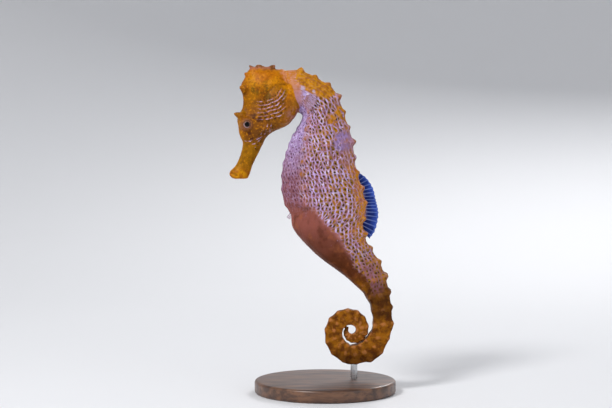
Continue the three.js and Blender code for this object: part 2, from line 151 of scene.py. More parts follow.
HEAD_SPINES = [  # root, tip and radius
    ((-38.2, 1.9, 75.4), (-41.7, 2.5, 76.8), 1.5),
    ((-37.4, 1.5, 84.8), (-39.8, 1.7, 86.2), 1.25),
    ((-29.5, 3.8, 71.6), (-28.9, 5.6, 70.7), 1.2),
    ((-36.0, 1.0, 89.6), (-38.0, 1.3, 91.0), 1.1),
]

DORSAL_FIN = {"from": 8.8, "to": 12.2, "heights": [1.2, 3.0, 4.1, 4.2, 4.5, 5.0, 5.3, 4.6], "rays": 18}
PECTORAL_FIN = {
    "at": (-16.6, 5.9, 81.6), "length": 4.6, "root": 1.3, "spread": 95, "flare": 24, "aim": -22, "rays": 14,
}
ANAL_FIN = {
    "at": (-21.6, 0, 41.0), "length": 1.7, "root": 0.6, "spread": 50, "flare": 0, "aim": -126, "rays": 4,
}

# ---- sizes of the finer work

LEFT, RIGHT = -1, 1
SKIN_VOXEL = 0.33
HEAD_STARTS_OFF = (0.12, 0.45)  # how far off the body formula the head begins, and is whole
BODY_ROUND = 196  # points round each ring
JOINT_ROUNDS = 7  # of smoothing where the head's shapes meet
SEAM_ROUNDS = 18  # of smoothing where the head meets the neck
COIL_TOP = 50  # a height between the coil and the head
GRAIN = 0.05
TUBERCLE_REACH = 1.25  # of the least; the tall and the odd ones reach farther
CROWN_REACH = 1.3  # of the paint on a tubercle
CROWDED_LOSS = 0.85  # the share of the relief that is lost where rings crowd
BAR_HEIGHT = 0.16  # of the bar across each ring
COIL_BAR = 0.06  # how much higher the coil's bars are
BAR_REACH = 0.8
KEEL_HEIGHT = 0.14  # of the lines from tubercle to tubercle
KEEL_REACH = 0.9
FLANK_GROOVE = 0.17  # between the rings
COIL_WEAR = 0.8  # how much lower the coil's tubercles are than the back's
COIL_WEAR_RINGS = (16.6, 18.8)
POUCH_FOLD = {"line": [(-23.5, 39.9), (-15.5, 42.6)], "depth": 0.3, "reach": 0.5}

SOCKET_CLEARANCE = 0.07
LID = {"radius": 1.75, "height": 0.22, "reach": 0.33}
WRINKLES = {"height": 0.06, "per_radian": 13}  # round the lid
PUPIL_RADIUS = 0.88
EYE_SIGHT = (0.04, 1.0, 0.0)  # of the right eye; the left's is mirrored
MOUTH = {"line": [(-43.8, 56.5), (-40.6, 54.9)], "depth": 0.5, "reach": 0.3}
LIPS = {"from_mouth": 0.75, "height": 0.15, "reach": 0.35}
PITS = [  # nostril and gill pore: place, radius, depth and height of the rim
    ((-39.3, 1.9, 69.2), 0.6, 0.4, 0.12),
    ((-22.4, 3.9, 87.4), 0.9, 0.55, 0.2),
]
HEAD_RIDGES = [  # paths in x and z, half width and height; a groove has a height below 0
    ([(-38.4, 76.0), (-37.6, 80.0), (-38.0, 84.5), (-36.0, 89.5)], 0.7, 0.28),
    ([(-34.6, 74.8), (-31.0, 77.0), (-26.5, 77.4)], 0.9, 0.22),
    ([(-35.4, 71.0), (-33.0, 68.8), (-31.4, 66.0)], 0.6, 0.18),
    ([(-22.6, 86.8), (-26.8, 86.6), (-30.2, 83.2), (-31.8, 78.6), (-30.6, 74.4), (-27.2, 71.9)], 0.4, -0.24),
]
GILL_FAN = {"centre": (-33.5, 74.0), "ribs_per_radian": 17, "height": 0.07}
NAPE_BUMPS = [((-24.2, 0, 92.2), 1.5, 0.6), ((-20.8, 0, 91.8), 1.2, 0.5), ((-33.0, 0, 92.0), 1.2, 0.4)]

# Edges between the paint's regions, in x and z. Each region lies above its line, or above and behind it.
NET_EDGE = [
    (-34.0, 50.0), (-13.7, 44.4), (-10.2, 39.0), (-5.7, 35.0), (-2.6, 30.0), (-0.1, 25.7), (0.4, 22.6),
    (5.2, 19.2), (6.9, 15.1), (7.5, 0.0),
]
NAPE_EDGE = [
    (-25.8, 96.0), (-25.8, 91.8), (-23.5, 87.9), (-21.9, 86.9), (-19.0, 84.3), (-17.8, 81.7), (-18.6, 79.0),
    (-18.8, 70.0),
]
SADDLE_EDGE = [
    (-20.4, 98.0), (-19.9, 88.6), (-16.8, 84.9), (-13.8, 82.7), (-7.9, 81.4), (-5.4, 84.5), (-3.0, 92.0),
]

LACE = {"across": 1.22, "along": 1.6, "unevenness": 0.75}  # the usual size of a mesh of the lace
CHEEK_ARCS = {"centre": (-31.7, 88.6), "radii": (7.3, 14.8), "spacing": 1.25, "degrees": (-98, -30)}
LOW_ARCS = {"centre": (-36.9, 72.9), "radii": (5.4, 9.1), "spacing": 1.23, "degrees": (-72, -2)}
ROOT_ARC = {"centre": (-36.3, 74.6), "radii": (7.0, 8.4), "spacing": 1.4, "degrees": (-100, -42)}
BEAD_SPACING = 1.55  # between the cheek's dots
# Dark and pale spots: x, z and radius.
HEAD_SPOTS = [
    (-34.6, 75.6, 1.5), (-32.5, 74.4, 1.4), (-35.9, 69.6, 0.9), (-35.3, 67.9, 0.85), (-30.2, 76.6, 0.8),
]
NECK_SPOTS = [(-17.3, 85.3, 1.1), (-13.5, 84.3, 0.8), (-15.6, 83.2, 0.7)]
THROAT = (-19.8, 75.4)
DUSKY_PATCH = (-3.0, 66.8)
PALE_PATCH = (-15.4, 82.4)

FIN_SKIN = 0.12
FIN_RAY = 0.24
FIN_SLANT = 1.15  # of the dorsal fin's end rays, as a share of their rise
COLUMNS_PER_RAY = 8
FIN_ROWS = 26

# The photograph is 612 by 408 pixels; one pixel is 0.353 mm at the animal.
FRAME_WIDTH_PX = 612
MM_PER_PX = 0.353
FRAME_CENTRE = np.array([-16.2, 0, 44.8])  # from the coil's centre
LENS_MM = 85
SENSOR_MM = 36
CAMERA_LIFT_DEG = 2.0

# The studio, in metres and watts.
STUDIO = {"floor": 0.35, "bend": 1.1, "wall": 1.8}
LIT_POINT = Vector((0, 0, 0.065))
LIGHTS = {  # place, diameter and power
    "key": ((-0.42, -0.5, 0.62), 0.22, 5.2),
    "fill": ((0.6, -0.5, 0.25), 0.6, 1.1),
    "back": ((0.25, 0.6, 0.5), 0.35, 2.6),
}
SKY_COLOUR = (0.95, 0.97, 1.0, 1)
SKY_STRENGTH = 0.46


# ---- number helpers

def smoothstep(low, high, x):
    """0 at low, 1 at high and smooth between. With low above high it falls instead."""
    t = np.clip((np.asarray(x, float) - low) / (high - low), 0, 1)
    return t * t * (3 - 2 * t)


def window(rise, fall, x):
    """1 from the end of its rise to the start of its fall."""
    return smoothstep(*rise, x) * (1 - smoothstep(*fall, x))


def hump(x, reach):
    """1 at 0, fading to about a third at its reach."""
    return np.exp(-((x / reach) ** 2))


def between(rows, at):
    """Uniform Catmull-Rom values between the rows of a table."""
    rows = np.asarray(rows, float)
    at = np.asarray(at, float)
    last = len(rows) - 1
    i = np.clip(np.floor(at).astype(int), 0, last - 1)
    f = (at - i)[:, None]
    a, b, c, d = (rows[np.clip(i + k, 0, last)] for k in (-1, 0, 1, 2))
    return b + 0.5 * f * (c - a + f * (2 * a - 5 * b + 4 * c - d + f * (3 * (b - c) + d - a)))


def lengths(vectors):
    return np.linalg.norm(vectors, axis=-1)


def unit(vectors):
    return vectors / np.maximum(np.linalg.norm(vectors, axis=-1, keepdims=True), 1e-9)


def full_turn(count):
    """Angles all round, without the last."""
    return np.linspace(0, 2 * math.pi, count, endpoint=False)


def mirrored(place, side):
    """A place on the right, or on the left with the same x and z."""
    return np.array(place, float) * [1, side, 1]


def in_space(flat, y=0.0):
    """Places in the XZ plane, moved out to y."""
    return np.stack([flat[:, 0], np.broadcast_to(y, len(flat)), flat[:, 1]], axis=1)


def level_loop(x, y, z):
    return np.stack([x, y, np.broadcast_to(z, x.shape)], axis=1)


def bump_at(points, centre, radius):
    """A round bump of height 1 at a centre, falling to 0 at its radius."""
    away = lengths(points - centre) / radius
    return np.clip(1 - away * away, 0, 1) ** 2


def from_line(points, line):
    """Distances in the XZ plane from each stretch of a bent line, and 1 on its left or -1 on its right."""
    p = points[:, [0, 2]]
    line = np.array(line, float)
    far, left = [], []
    for a, step in zip(line, np.diff(line, axis=0)):
        share = np.clip((p - a) @ step / (step @ step), 0, 1)
        away = p - (a + share[:, None] * step)
        far.append(lengths(away))
        left.append(np.sign(step[0] * away[:, 1] - step[1] * away[:, 0]))
    return np.array(far), np.array(left)


def line_away(points, line):
    """Distance in the XZ plane from a bent line."""
    return from_line(points, line)[0].min(axis=0)


def side_of_line(points, line):
    """Signed distance in the XZ plane from a bent line: above zero on its left, going along it."""
    far, left = from_line(points, line)
    return (far * left)[far.argmin(axis=0), np.arange(len(points))]


def rough(points, size, seed=0.0):
    """Smooth noise between about -1 and 1, with features of that size."""
    shift = Vector((seed, 2 * seed, -seed))
    return np.array([noise.noise(Vector(p) / size + shift) for p in points])


def nearest_of(points, wanted):
    """The number of the point that is nearest to each wanted place."""
    tree = kdtree.KDTree(len(points))
    for i, p in enumerate(points):
        tree.insert(p, i)
    tree.balance()
    return np.array([tree.find(p)[1] for p in wanted])


# ---- the body as a formula

def coil_ribs():
    ribs = []
    for turned in range(0, COIL_DEGREES + 1, 15):
        angle = math.radians(-90 - turned)
        radius = COIL_START_RADIUS * math.exp(-COIL_DECAY * math.radians(turned))
        taper = 1 - (turned / COIL_TAPER_DEGREES) ** COIL_TAPER_POWER
        half = max(COIL_HALF_DEPTH * taper, LEAST_HALF_DEPTH)
        c, s = math.cos(angle), math.sin(angle)
        outer, inner = radius + half, radius - half
        ribs.append([outer * c, outer * s, inner * c, inner * s, half * TAIL_WIDTH_TO_DEPTH])
    return ribs


def running_length(line):
    return np.concatenate([[0], np.cumsum(lengths(np.diff(line, axis=0)))])


STEPS_PER_RIB = 12
ribs = np.array(RIBS + coil_ribs())
rib_places = np.arange((len(ribs) - 1) * STEPS_PER_RIB + 1) / STEPS_PER_RIB
rib_steps = between(ribs, rib_places)
back_lengths = running_length(rib_steps[:, :2])
middle_lengths = running_length((rib_steps[:, :2] + rib_steps[:, 2:4]) / 2)


def back_length_of(ring):
    """Length along the back up to a ring count. Rings shorten towards the tip."""
    ring = np.asarray(ring, float)
    even = FIRST_RING_AT + np.minimum(ring, TRUNK_RINGS) * TRUNK_PITCH
    even = even + np.clip(ring - TRUNK_RINGS, 0, EVEN_RINGS - TRUNK_RINGS) * TAIL_PITCH
    even_length = FIRST_RING_AT + TRUNK_RINGS * TRUNK_PITCH + (EVEN_RINGS - TRUNK_RINGS) * TAIL_PITCH
    left = back_lengths[-1] - even_length
    power = (ALL_RINGS - EVEN_RINGS) * TAIL_PITCH / left
    over = np.clip((ring - EVEN_RINGS) / (ALL_RINGS - EVEN_RINGS), 0, 1)
    return even + left * (1 - (1 - over) ** power)


def rib_at(ring):
    """Middle, direction to the back, half depth and half width at each ring count."""
    rib = between(ribs, np.interp(back_length_of(ring), back_lengths, rib_places))
    back, belly = rib[:, 0:2], rib[:, 2:4]
    return (back + belly) / 2, unit(back - belly), lengths(back - belly) / 2, rib[:, 4]


def corner_pitch(ring):
    """Length round the body from corner to corner."""
    half_depth, half_width = rib_at(ring)[2:]
    return (half_depth + half_width) * math.pi / CORNERS


def middle_length_of(ring):
    """Length along the middle of the body up to a ring count."""
    return np.interp(back_length_of(ring), back_lengths, middle_lengths)


def fold(corner):
    """Corner counts 0 to 14 round a section, as 0 (mid back) to 7 (mid belly) on either side."""
    corner = np.mod(corner, CORNERS)
    return np.minimum(corner, CORNERS - corner)


def section_shares(ring, corner):
    """Where a corner count lies, as shares of half depth and half width."""
    loops = []
    for table in (TRUNK_SECTION, POUCH_SECTION, TAIL_SECTION):
        side = np.array(table, float)
        loop = np.vstack([side, side[1:-1][::-1] * [1, -1]])
        wrapped = np.vstack([loop[-2:], loop, loop[:3]])
        loops.append(between(wrapped, np.mod(corner, CORNERS) + 2))
    trunk, pouch, tail = loops
    to_pouch = smoothstep(TRUNK_RINGS - 0.8, TRUNK_RINGS + 1.5, ring)[:, None]
    to_tail = smoothstep(EVEN_RINGS - 4, EVEN_RINGS + 1, ring)[:, None]
    shares = trunk + (pouch - trunk) * to_pouch
    return shares + (tail - shares) * to_tail


def body_surface(ring, corner):
    """Points of the smooth body, without its relief."""
    middle, up, half_depth, half_width = rib_at(ring)
    shares = section_shares(ring, corner)
    return in_space(middle + up * (shares[:, 0] * half_depth)[:, None], shares[:, 1] * half_width)


def ring_size(ring):
    """How small the relief gets towards the tail's tip."""
    return np.minimum(1, rib_at(ring)[2] / 4) * np.where(ring > ALL_RINGS - 3, 0.4, 1)


def odd_share(number, ridge, side):
    """A steady number from 0 to 1 for each tubercle, so that no two are quite alike."""
    wave = np.sin(number * 12.99 + ridge * 78.23 + side * 37.7) * 43758.5
    return wave - np.floor(wave)


def bar_spacing(ring, corner):
    """Length from ring to ring at a corner, and from 0 to 1 how crowded the rings are there."""
    step = 0.05
    pitch = lengths(body_surface(ring + step, corner) - body_surface(ring - step, corner)) / (2 * step)
    pitch = np.minimum(pitch, TAIL_PITCH)
    on_back = (back_length_of(ring + 0.2) - back_length_of(ring - 0.2)) / 0.4
    return pitch, 1 - smoothstep(0.3, 0.7, pitch / np.minimum(on_back, TAIL_PITCH))


def relief_parts(ring, corner):
    """The body's relief in mm, then from 0 to 1 its odd spots, tubercles and the bars across its rings."""
    folded = fold(corner)
    side = np.sign(CORNERS / 2 - np.mod(corner, CORNERS))
    number = np.floor(ring)
    size = ring_size(ring)
    scale = np.sqrt(size)
    pitch, crowded = bar_spacing(ring, corner)
    along = (ring - number - 0.5) * pitch
    grown = smoothstep(-0.1, 0.3, ring)
    pouch_start = (TRUNK_RINGS - 0.3, TRUNK_RINGS + 0.5)
    pouch_end = (POUCH_ENDS_AT_RING - 0.3, POUCH_ENDS_AT_RING + 0.2)
    plated = 1 - window(pouch_start, pouch_end, ring) * smoothstep(3.4, 4.2, folded)
    on_coil = smoothstep(*COIL_WEAR_RINGS, ring)

    tall = np.where(np.mod(number, TALL_EVERY) == 0, TALL_TUBERCLE, LOW_TUBERCLE)
    height, crowns, knobs, keels = np.zeros((4, len(ring)))
    for ridge, share in RIDGES.items():
        present = (ring < TRUNK_RINGS) | (ridge != KEEL_RIDGE)
        aside = (folded - ridge) * corner_pitch(ring)
        odd = odd_share(number, ridge, side)
        reach = (TUBERCLE_REACH + 0.35 * tall + 0.25 * odd) * scale
        away = np.hypot(aside, 1.1 * (along - (0.5 - odd) * 0.4))
        mound = np.clip(1 - (away / reach) ** 1.7, 0, 1) ** 1.5 * present
        height = np.maximum(height, mound * tall * share * (0.8 + 0.35 * odd))
        knobs = np.maximum(knobs, mound)
        crowns = np.maximum(crowns, hump(away, CROWN_REACH) * present * odd)
        keels = np.maximum(keels, hump(aside, KEEL_REACH * scale) * present)
    bar = hump(along, BAR_REACH * scale)
    groove = hump(np.abs(along) - pitch / 2, BAR_REACH * scale)
    soft = (BAR_HEIGHT + COIL_BAR * on_coil) * bar + KEEL_HEIGHT * keels
    soft = soft - FLANK_GROOVE * groove * (1 - 0.4 * keels)
    height = (height * (1 - COIL_WEAR * on_coil) + soft) * (1 - CROWDED_LOSS * crowded)
    from_fold = line_away(body_surface(ring, corner), POUCH_FOLD["line"])
    height -= POUCH_FOLD["depth"] * hump(from_fold, POUCH_FOLD["reach"]) * (folded > 3)
    return size * grown * plated * height, crowns * plated * grown, knobs, bar


# ---- mesh helpers

def link(name, data):
    obj = bpy.data.objects.new(name, data)
    bpy.context.scene.collection.objects.link(obj)
    return obj


def mesh_object(name, points_mm, faces, origin=ANIMAL):
    mesh = bpy.data.meshes.new(name)
    places = (np.asarray(points_mm, float) + origin) * MM
    mesh.from_pydata(places.tolist(), [], [list(map(int, f)) for f in faces])
    mesh.validate()
    return link(name, mesh)


def face_outward(obj):
    bm = bmesh.new()
    bm.from_mesh(obj.data)
    bmesh.ops.recalc_face_normals(bm, faces=bm.faces)
    bm.to_mesh(obj.data)
    bm.free()
    return obj


def grid_faces(rows, columns, closed=True):
    """Quads over a grid of points stored row by row."""
    faces = []
    for i in range(rows - 1):
        for j in range(columns if closed else columns - 1):
            a, b = i * columns + j, i * columns + (j + 1) % columns
            faces.append((a, b, b + columns, a + columns))
    return faces


def tube(name, loops, origin=ANIMAL):
    """A closed mesh over loops of equal count, with a fan at each end."""
    loops = np.asarray(loops, float)
    rows, columns = loops.shape[:2]
    points = np.vstack([loops.reshape(-1, 3), loops[0].mean(0)[None], loops[-1].mean(0)[None]])
    faces = grid_faces(rows, columns)
    start, end = rows * columns, rows * columns + 1
    tail = (rows - 1) * columns
    for j in range(columns):
        k = (j + 1) % columns
        faces += [(start, k, j), (end, tail + j, tail + k)]
    return face_outward(mesh_object(name, points, faces, origin))


def points_of(obj):
    flat = np.empty(len(obj.data.vertices) * 3)
    obj.data.vertices.foreach_get("co", flat)
    return flat.reshape(-1, 3) / MM - ANIMAL


def move_points(obj, points_mm):
    obj.data.vertices.foreach_set("co", ((points_mm + ANIMAL) * MM).ravel())
    obj.data.update()


def normals_of(obj):
    flat = np.empty(len(obj.data.vertices) * 3, np.float32)
    obj.data.vertex_normals.foreach_get("vector", flat)
    return flat.reshape(-1, 3).astype(float)


def smoothed(obj, values, rounds, weight=1.0):
    """Values of the vertices after rounds of averaging with their neighbours."""
    edges = np.empty(len(obj.data.edges) * 2, int)
    obj.data.edges.foreach_get("vertices", edges)
    a, b = edges.reshape(-1, 2).T
    count = np.bincount(edges, minlength=len(values)).astype(float)[:, None]
    flat = np.array(values, float).reshape(len(values), -1)
    share = 0.5 * np.broadcast_to(weight, len(values))[:, None]
    for _ in range(rounds):
        total = np.zeros_like(flat)
        for column in range(flat.shape[1]):
            for here, there in ((a, b), (b, a)):
                total[:, column] += np.bincount(here, flat[there, column], minlength=len(flat))
        flat = flat + share * (total / count - flat)
    return flat.reshape(np.shape(values))


def store(obj, name, values):
    """Keeps one number, or one vector, for each vertex."""
    values = np.asarray(values, np.float32)
    kind, key = ("FLOAT", "value") if values.ndim == 1 else ("FLOAT_VECTOR", "vector")
    obj.data.attributes.new(name, kind, "POINT").data.foreach_set(key, values.ravel())


def modify(obj, kind, **settings):
    """Adds a modifier and applies it."""
    modifier = obj.modifiers.new(kind, kind)
    for name, value in settings.items():
        setattr(modifier, name, value)
    bpy.context.view_layer.update()
    graph = bpy.context.evaluated_depsgraph_get()
    mesh = bpy.data.meshes.new_from_object(obj.evaluated_get(graph))
    obj.modifiers.clear()
    obj.data = mesh


def remove(obj):
    bpy.data.objects.remove(obj, do_unlink=True)


def joined(name, objects):
    """One object from several, each mesh left closed."""
    bm = bmesh.new()
    for obj in objects:
        bm.from_mesh(obj.data)
        remove(obj)
    mesh = bpy.data.meshes.new(name)
    bm.to_mesh(mesh)
    bm.free()
    return link(name, mesh)


# ---- the skin's first shapes

def body_grid():
    """Ring and corner counts all over the body."""
    rings = np.concatenate([
        np.arange(BODY_STARTS_AT_RING, EVEN_RINGS, 1 / 16),
        np.arange(EVEN_RINGS, ALL_RINGS, 1 / 12),
        [ALL_RINGS],
    ])
    corners = np.arange(BODY_ROUND) * CORNERS / BODY_ROUND
    return np.repeat(rings, BODY_ROUND), np.tile(corners, len(rings))


def body_shape():
    loops = body_surface(*body_grid()).reshape(-1, BODY_ROUND, 3)
    end = loops[-1].mean(0)
    step = unit(end - loops[-4].mean(0)) * LEAST_HALF_DEPTH
    tip = [end + (loops[-1] - end) * math.cos(a) + step * math.sin(a) for a in (0.5, 1.0, 1.4)]
    return tube("body_shape", np.concatenate([loops, tip]))


def head_shape():
    cos, sin = np.cos(full_turn(96)), np.sin(full_turn(96))
    loops = []
    for z, front, rear, half_width, skew in between(HEAD_LEVELS, np.linspace(0, len(HEAD_LEVELS) - 1, 150)):
        x = (front + rear) / 2 + (rear - front) / 2 * cos
        loops.append(level_loop(x, half_width * sin * (1 + skew * cos), z))
    return tube("head_shape", loops)


def coronet_shape():
    """A flared crown with blunt points and a shallow cup in its top."""
    c = CORONET
    bottom, top = c["bottom"], c["top"]
    table = [  # height and flare, up the outside and down into the cup
        [bottom - 2.4, 0.8], [bottom, 0.9], [bottom + 1.6, 0.96], [top - 0.5, 1.08],
        [top, 1.1], [top - 0.1, 0.98], [top - 0.7, 0.72], [top - 1.0, 0.4],
    ]
    angle = full_turn(120)
    off_point = 0.5 - 0.5 * np.cos(c["points"] * angle - math.pi)
    loops = []
    for at in np.linspace(0, len(table) - 1, 40):
        z, flare = between(table, [at])[0]
        reach = flare * (1 - c["notch"] * off_point * min(at / 4, 1))
        dip = 0.9 * off_point * smoothstep(2, 4, at) * (1 - 0.5 * smoothstep(4.5, 7, at))
        x = c["x"] + c["length"] * reach * np.cos(angle)
        loops.append(level_loop(x, c["half_width"] * reach * np.sin(angle), z - dip))
    return tube("coronet_shape", loops)


def ball(name, centre, radii, tilt_deg=0):
    """An ellipsoid, turned about Y."""
    bm = bmesh.new()
    bmesh.ops.create_uvsphere(bm, u_segments=48, v_segments=32, radius=1)
    points = np.array([v.co for v in bm.verts]) * radii
    faces = [[v.index for v in f.verts] for f in bm.faces]
    bm.free()
    c, s = math.cos(math.radians(tilt_deg)), math.sin(math.radians(tilt_deg))
    return mesh_object(name, points @ np.array([[c, 0, -s], [0, 1, 0], [s, 0, c]]) + centre, faces)


def spine_shape(root, tip, radius):
    """A blunt cone."""
    axis = unit(tip - root)
    sideways = unit(np.cross(axis, [0.3, 0.2, 1.0]))
    angle = full_turn(24)[:, None]
    ring = np.cos(angle) * sideways + np.sin(angle) * np.cross(axis, sideways)
    loops = []
    for t in np.linspace(0, 1, 14):
        width = radius * (1 - t) ** 0.8 + 0.3 * math.sqrt(max(1 - t ** 6, 0.0))
        loops.append(root + (tip - root) * t + ring * max(width, 0.02))
    return tube("spine_shape", loops)


def first_skin():
    parts = [body_shape(), head_shape(), coronet_shape()]
    gill = GILL_COVER
    for side in (LEFT, RIGHT):
        parts.append(ball("gill_shape", mirrored(gill["at"], side), gill["radii"], gill["tilt"]))
        parts.append(ball("orbit_shape", mirrored(ORBIT["at"], side), ORBIT["radius"]))
        for root, tip, radius in HEAD_SPINES:
            parts.append(spine_shape(mirrored(root, side), mirrored(tip, side), radius))
    skin = joined("skin", parts)
    modify(skin, "REMESH", mode="VOXEL", voxel_size=SKIN_VOXEL * MM, adaptivity=0)
    return skin


# ---- fitting and relief

def body_places(points):
    """Ring and corner counts of the body's surface nearest to each point, and that surface's points."""
    ring, corner = body_grid()
    nearest = nearest_of(body_surface(ring, corner), points)
    ring, corner = ring[nearest], corner[nearest]
    step = 0.02
    for _ in range(2):
        base = body_surface(ring, corner)
        by_ring = (body_surface(ring + step, corner) - base) / step
        by_corner = (body_surface(ring, corner + step) - base) / step
        away = points - base
        rr, rc, cc = (by_ring ** 2).sum(1), (by_ring * by_corner).sum(1), (by_corner ** 2).sum(1)
        ra, ca = (by_ring * away).sum(1), (by_corner * away).sum(1)
        det = np.maximum(rr * cc - rc * rc, 1e-9)
        ring = ring + np.clip((ra * cc - ca * rc) / det, -0.08, 0.08)
        corner = corner + np.clip((ca * rr - ra * rc) / det, -0.2, 0.2)
        ring = np.clip(ring, BODY_STARTS_AT_RING, ALL_RINGS - 1e-3)
    return ring, corner, body_surface(ring, corner)


def eye_relief(points):
    """The raised lid and the wrinkles round it."""
    x, _, z = (points - EYE["at"]).T
    far = np.hypot(x, z)
    wrinkles = WRINKLES["height"] * np.cos(np.arctan2(z, x) * WRINKLES["per_radian"])
    wrinkles = wrinkles * window((1.9, 2.3), (2.8, 3.8), far)
    lid = LID["height"] * hump(far - LID["radius"], LID["reach"])
    return (wrinkles + lid) * smoothstep(0, 2, points[:, 1])


def head_relief(points):
    """Fine heights on the head, in mm: mouth, nostrils, gill pores and ribs, lids, ridges and nape."""
    right = np.stack([points[:, 0], np.abs(points[:, 1]), points[:, 2]], axis=1)
    from_mouth = line_away(right, MOUTH["line"])
    height = -MOUTH["depth"] * hump(from_mouth, MOUTH["reach"])
    height += LIPS["height"] * hump(from_mouth - LIPS["from_mouth"], LIPS["reach"])
    for path, reach, rise in HEAD_RIDGES:
        height += rise * hump(line_away(right, path), reach)
    height *= smoothstep(0.2, 0.8, right[:, 1])
    for place, radius, depth, rim in PITS:
        height += rim * bump_at(right, place, 2.1 * radius) - depth * bump_at(right, place, radius)
    out = points[:, [0, 2]] - GILL_FAN["centre"]
    fan = window((5, 8), (13.5, 15.5), lengths(out)) * smoothstep(2, 4, right[:, 1])
    turned = np.arctan2(out[:, 1], out[:, 0])
    height += GILL_FAN["height"] * np.cos(turned * GILL_FAN["ribs_per_radian"]) * fan
    for place, radius, rise in NAPE_BUMPS:
        height += rise * bump_at(points, place, radius)
    return height + eye_relief(right)


def fit_skin(skin):
    """Puts the body's points on its formula, rounds the head's joints and adds all relief.

    Returns the points with the numbers that the paint needs at each.
    """
    points = points_of(skin)
    ring, corner, base = body_places(points)
    off_body = smoothstep(*HEAD_STARTS_OFF, lengths(points - base))
    off_body = np.maximum(off_body, 1 - window((-0.5, -0.2), (ALL_RINGS - 0.3, ALL_RINGS - 0.05), ring))
    off_body = smoothed(skin, off_body, 3)
    loose = np.maximum(off_body, smoothed(skin, off_body, 6))
    rounded = smoothed(skin, points, JOINT_ROUNDS, np.clip(loose * 2, 0, 1))
    points = base + (rounded - base) * off_body[:, None]
    seam = smoothed(skin, 4 * off_body * (1 - off_body), SEAM_ROUNDS) * (points[:, 2] > COIL_TOP)
    points = smoothed(skin, points, SEAM_ROUNDS, np.clip(4 * seam, 0, 1))
    move_points(skin, points)

    normals = unit(smoothed(skin, normals_of(skin), 2))
    height, crowns, knobs, bars = relief_parts(ring, corner)
    grain = GRAIN * (rough(points, 0.9) + rough(points, 2.3, 7.0)) * np.clip(ring_size(ring) * 2, 0.2, 1)
    on_head = np.where(points[:, 2] > COIL_TOP, off_body, 0)
    on_body = 1 - off_body
    raised = height * on_body + head_relief(points) * on_head
    points = points + normals * (raised + grain)[:, None]
    move_points(skin, points)

    around = fold(corner) * corner_pitch(ring) * np.sign(points[:, 1])
    return points, {
        "place": points,
        "unroll": np.stack([around, middle_length_of(ring), np.zeros_like(around)], axis=1),
        "ring": ring,
        "girth": fold(corner),
        "head": on_head,
        "crowns": crowns * on_body,
        "knobs": knobs * on_body,
        "bars": bars * on_body,
        "raised": raised,
        "net": smoothstep(-2.0, 2.0, side_of_line(points, NET_EDGE)),
        "nape": side_of_line(points, NAPE_EDGE),
        "saddle": side_of_line(points, SADDLE_EDGE),
    }


def carve_sockets(skin):
    for side in (LEFT, RIGHT):
        cutter = ball("socket", mirrored(EYE["at"], side), EYE["radius"] + SOCKET_CLEARANCE)
        modify(skin, "BOOLEAN", operation="DIFFERENCE", solver="EXACT", object=cutter)
        remove(cutter)


def skin_piece():
    skin = first_skin()
    points, numbers = fit_skin(skin)
    carve_sockets(skin)
    same = nearest_of(points, points_of(skin))
    for name, values in numbers.items():
        store(skin, name, values[same])
    return skin


# ---- eyes, fins and stand

def eye_piece(name, side):
    """A ball whose points know how far they lie from the line of sight."""
    centre = mirrored(EYE["at"], side)
    eye = ball(name, centre, EYE["radius"])
    away = points_of(eye) - centre
    sight = unit(mirrored(EYE_SIGHT, side))
    along = away @ sight
    across = away - along[:, None] * sight
    store(eye, "from_sight", np.where(along > 0, lengths(across), EYE["radius"]))
    store(eye, "place", points_of(eye))
    store(eye, "spoke", unit(across))
    return eye


def closed_sheet(name, middle, normal, half):
    """A thin body on both sides of a grid of points."""
    rows, columns = half.shape
    count = rows * columns
    points = [(middle + normal * side * half[..., None]).reshape(-1, 3) for side in (1, -1)]
    faces = grid_faces(rows, columns, closed=False)
    faces += [tuple(count + k for k in reversed(face)) for face in faces]
    index = np.arange(count).reshape(rows, columns)
    rim = [*index[0], *index[1:, -1], *index[-1, -2::-1], *index[-2:0:-1, 0]]
    faces += [(a, b, count + b, count + a) for a, b in zip(rim, rim[1:] + rim[:1])]
    return face_outward(mesh_object(name, np.vstack(points), faces))


def rayed_fin(name, roots, tips, normal, rays, notch, sway=0.0):
    """A fin whose thin skin is stretched between stiff rays, from root points to tip points."""
    turn = np.linspace(0, rays, len(roots))
    off_ray = math.pi * (turn - np.round(turn))
    on_ray = np.cos(off_ray) ** 12
    out = np.linspace(0, 1, FIN_ROWS)[:, None]
    reach = out * (1 - notch * np.sin(off_ray) ** 2 * smoothstep(0.6, 1, out))
    wave = sway * np.sin(turn * 0.62 + 0.8) * out ** 2
    middle = roots + (tips - roots) * reach[..., None] + normal * wave[..., None]
    half = FIN_SKIN / 2 + (FIN_RAY - FIN_SKIN) / 2 * on_ray * (1 - 0.6 * out)
    fin = closed_sheet(name, middle, normal, half)
    for key, values in (("on_ray", on_ray), ("out", out), ("turn", turn)):
        store(fin, key, np.tile(np.broadcast_to(values, half.shape).ravel(), 2))
    return fin


def dorsal_fin_piece():
    fin = DORSAL_FIN
    share = np.linspace(0, 1, fin["rays"] * COLUMNS_PER_RAY + 1)
    middle, up, half_depth, _ = rib_at(fin["from"] + (fin["to"] - fin["from"]) * share)
    depth = half_depth[:, None]
    from_middle = 2 * share - 1
    slant = FIN_SLANT * np.sign(from_middle) * np.abs(from_middle) ** 2.2
    lean = unit(up + np.stack([up[:, 1], -up[:, 0]], axis=1) * slant[:, None])
    rise = between(np.array(fin["heights"])[:, None], share * (len(fin["heights"]) - 1))
    rise *= 1 - 0.14 * smoothstep(0.88, 1, share)[:, None]
    roots = middle + up * depth * 0.9
    tips = roots + lean * (rise + depth * 0.1)
    normal = np.array([0, 1, 0])
    return rayed_fin("dorsal_fin_skin", in_space(roots), in_space(tips), normal, fin["rays"], 0.035, sway=0.3)


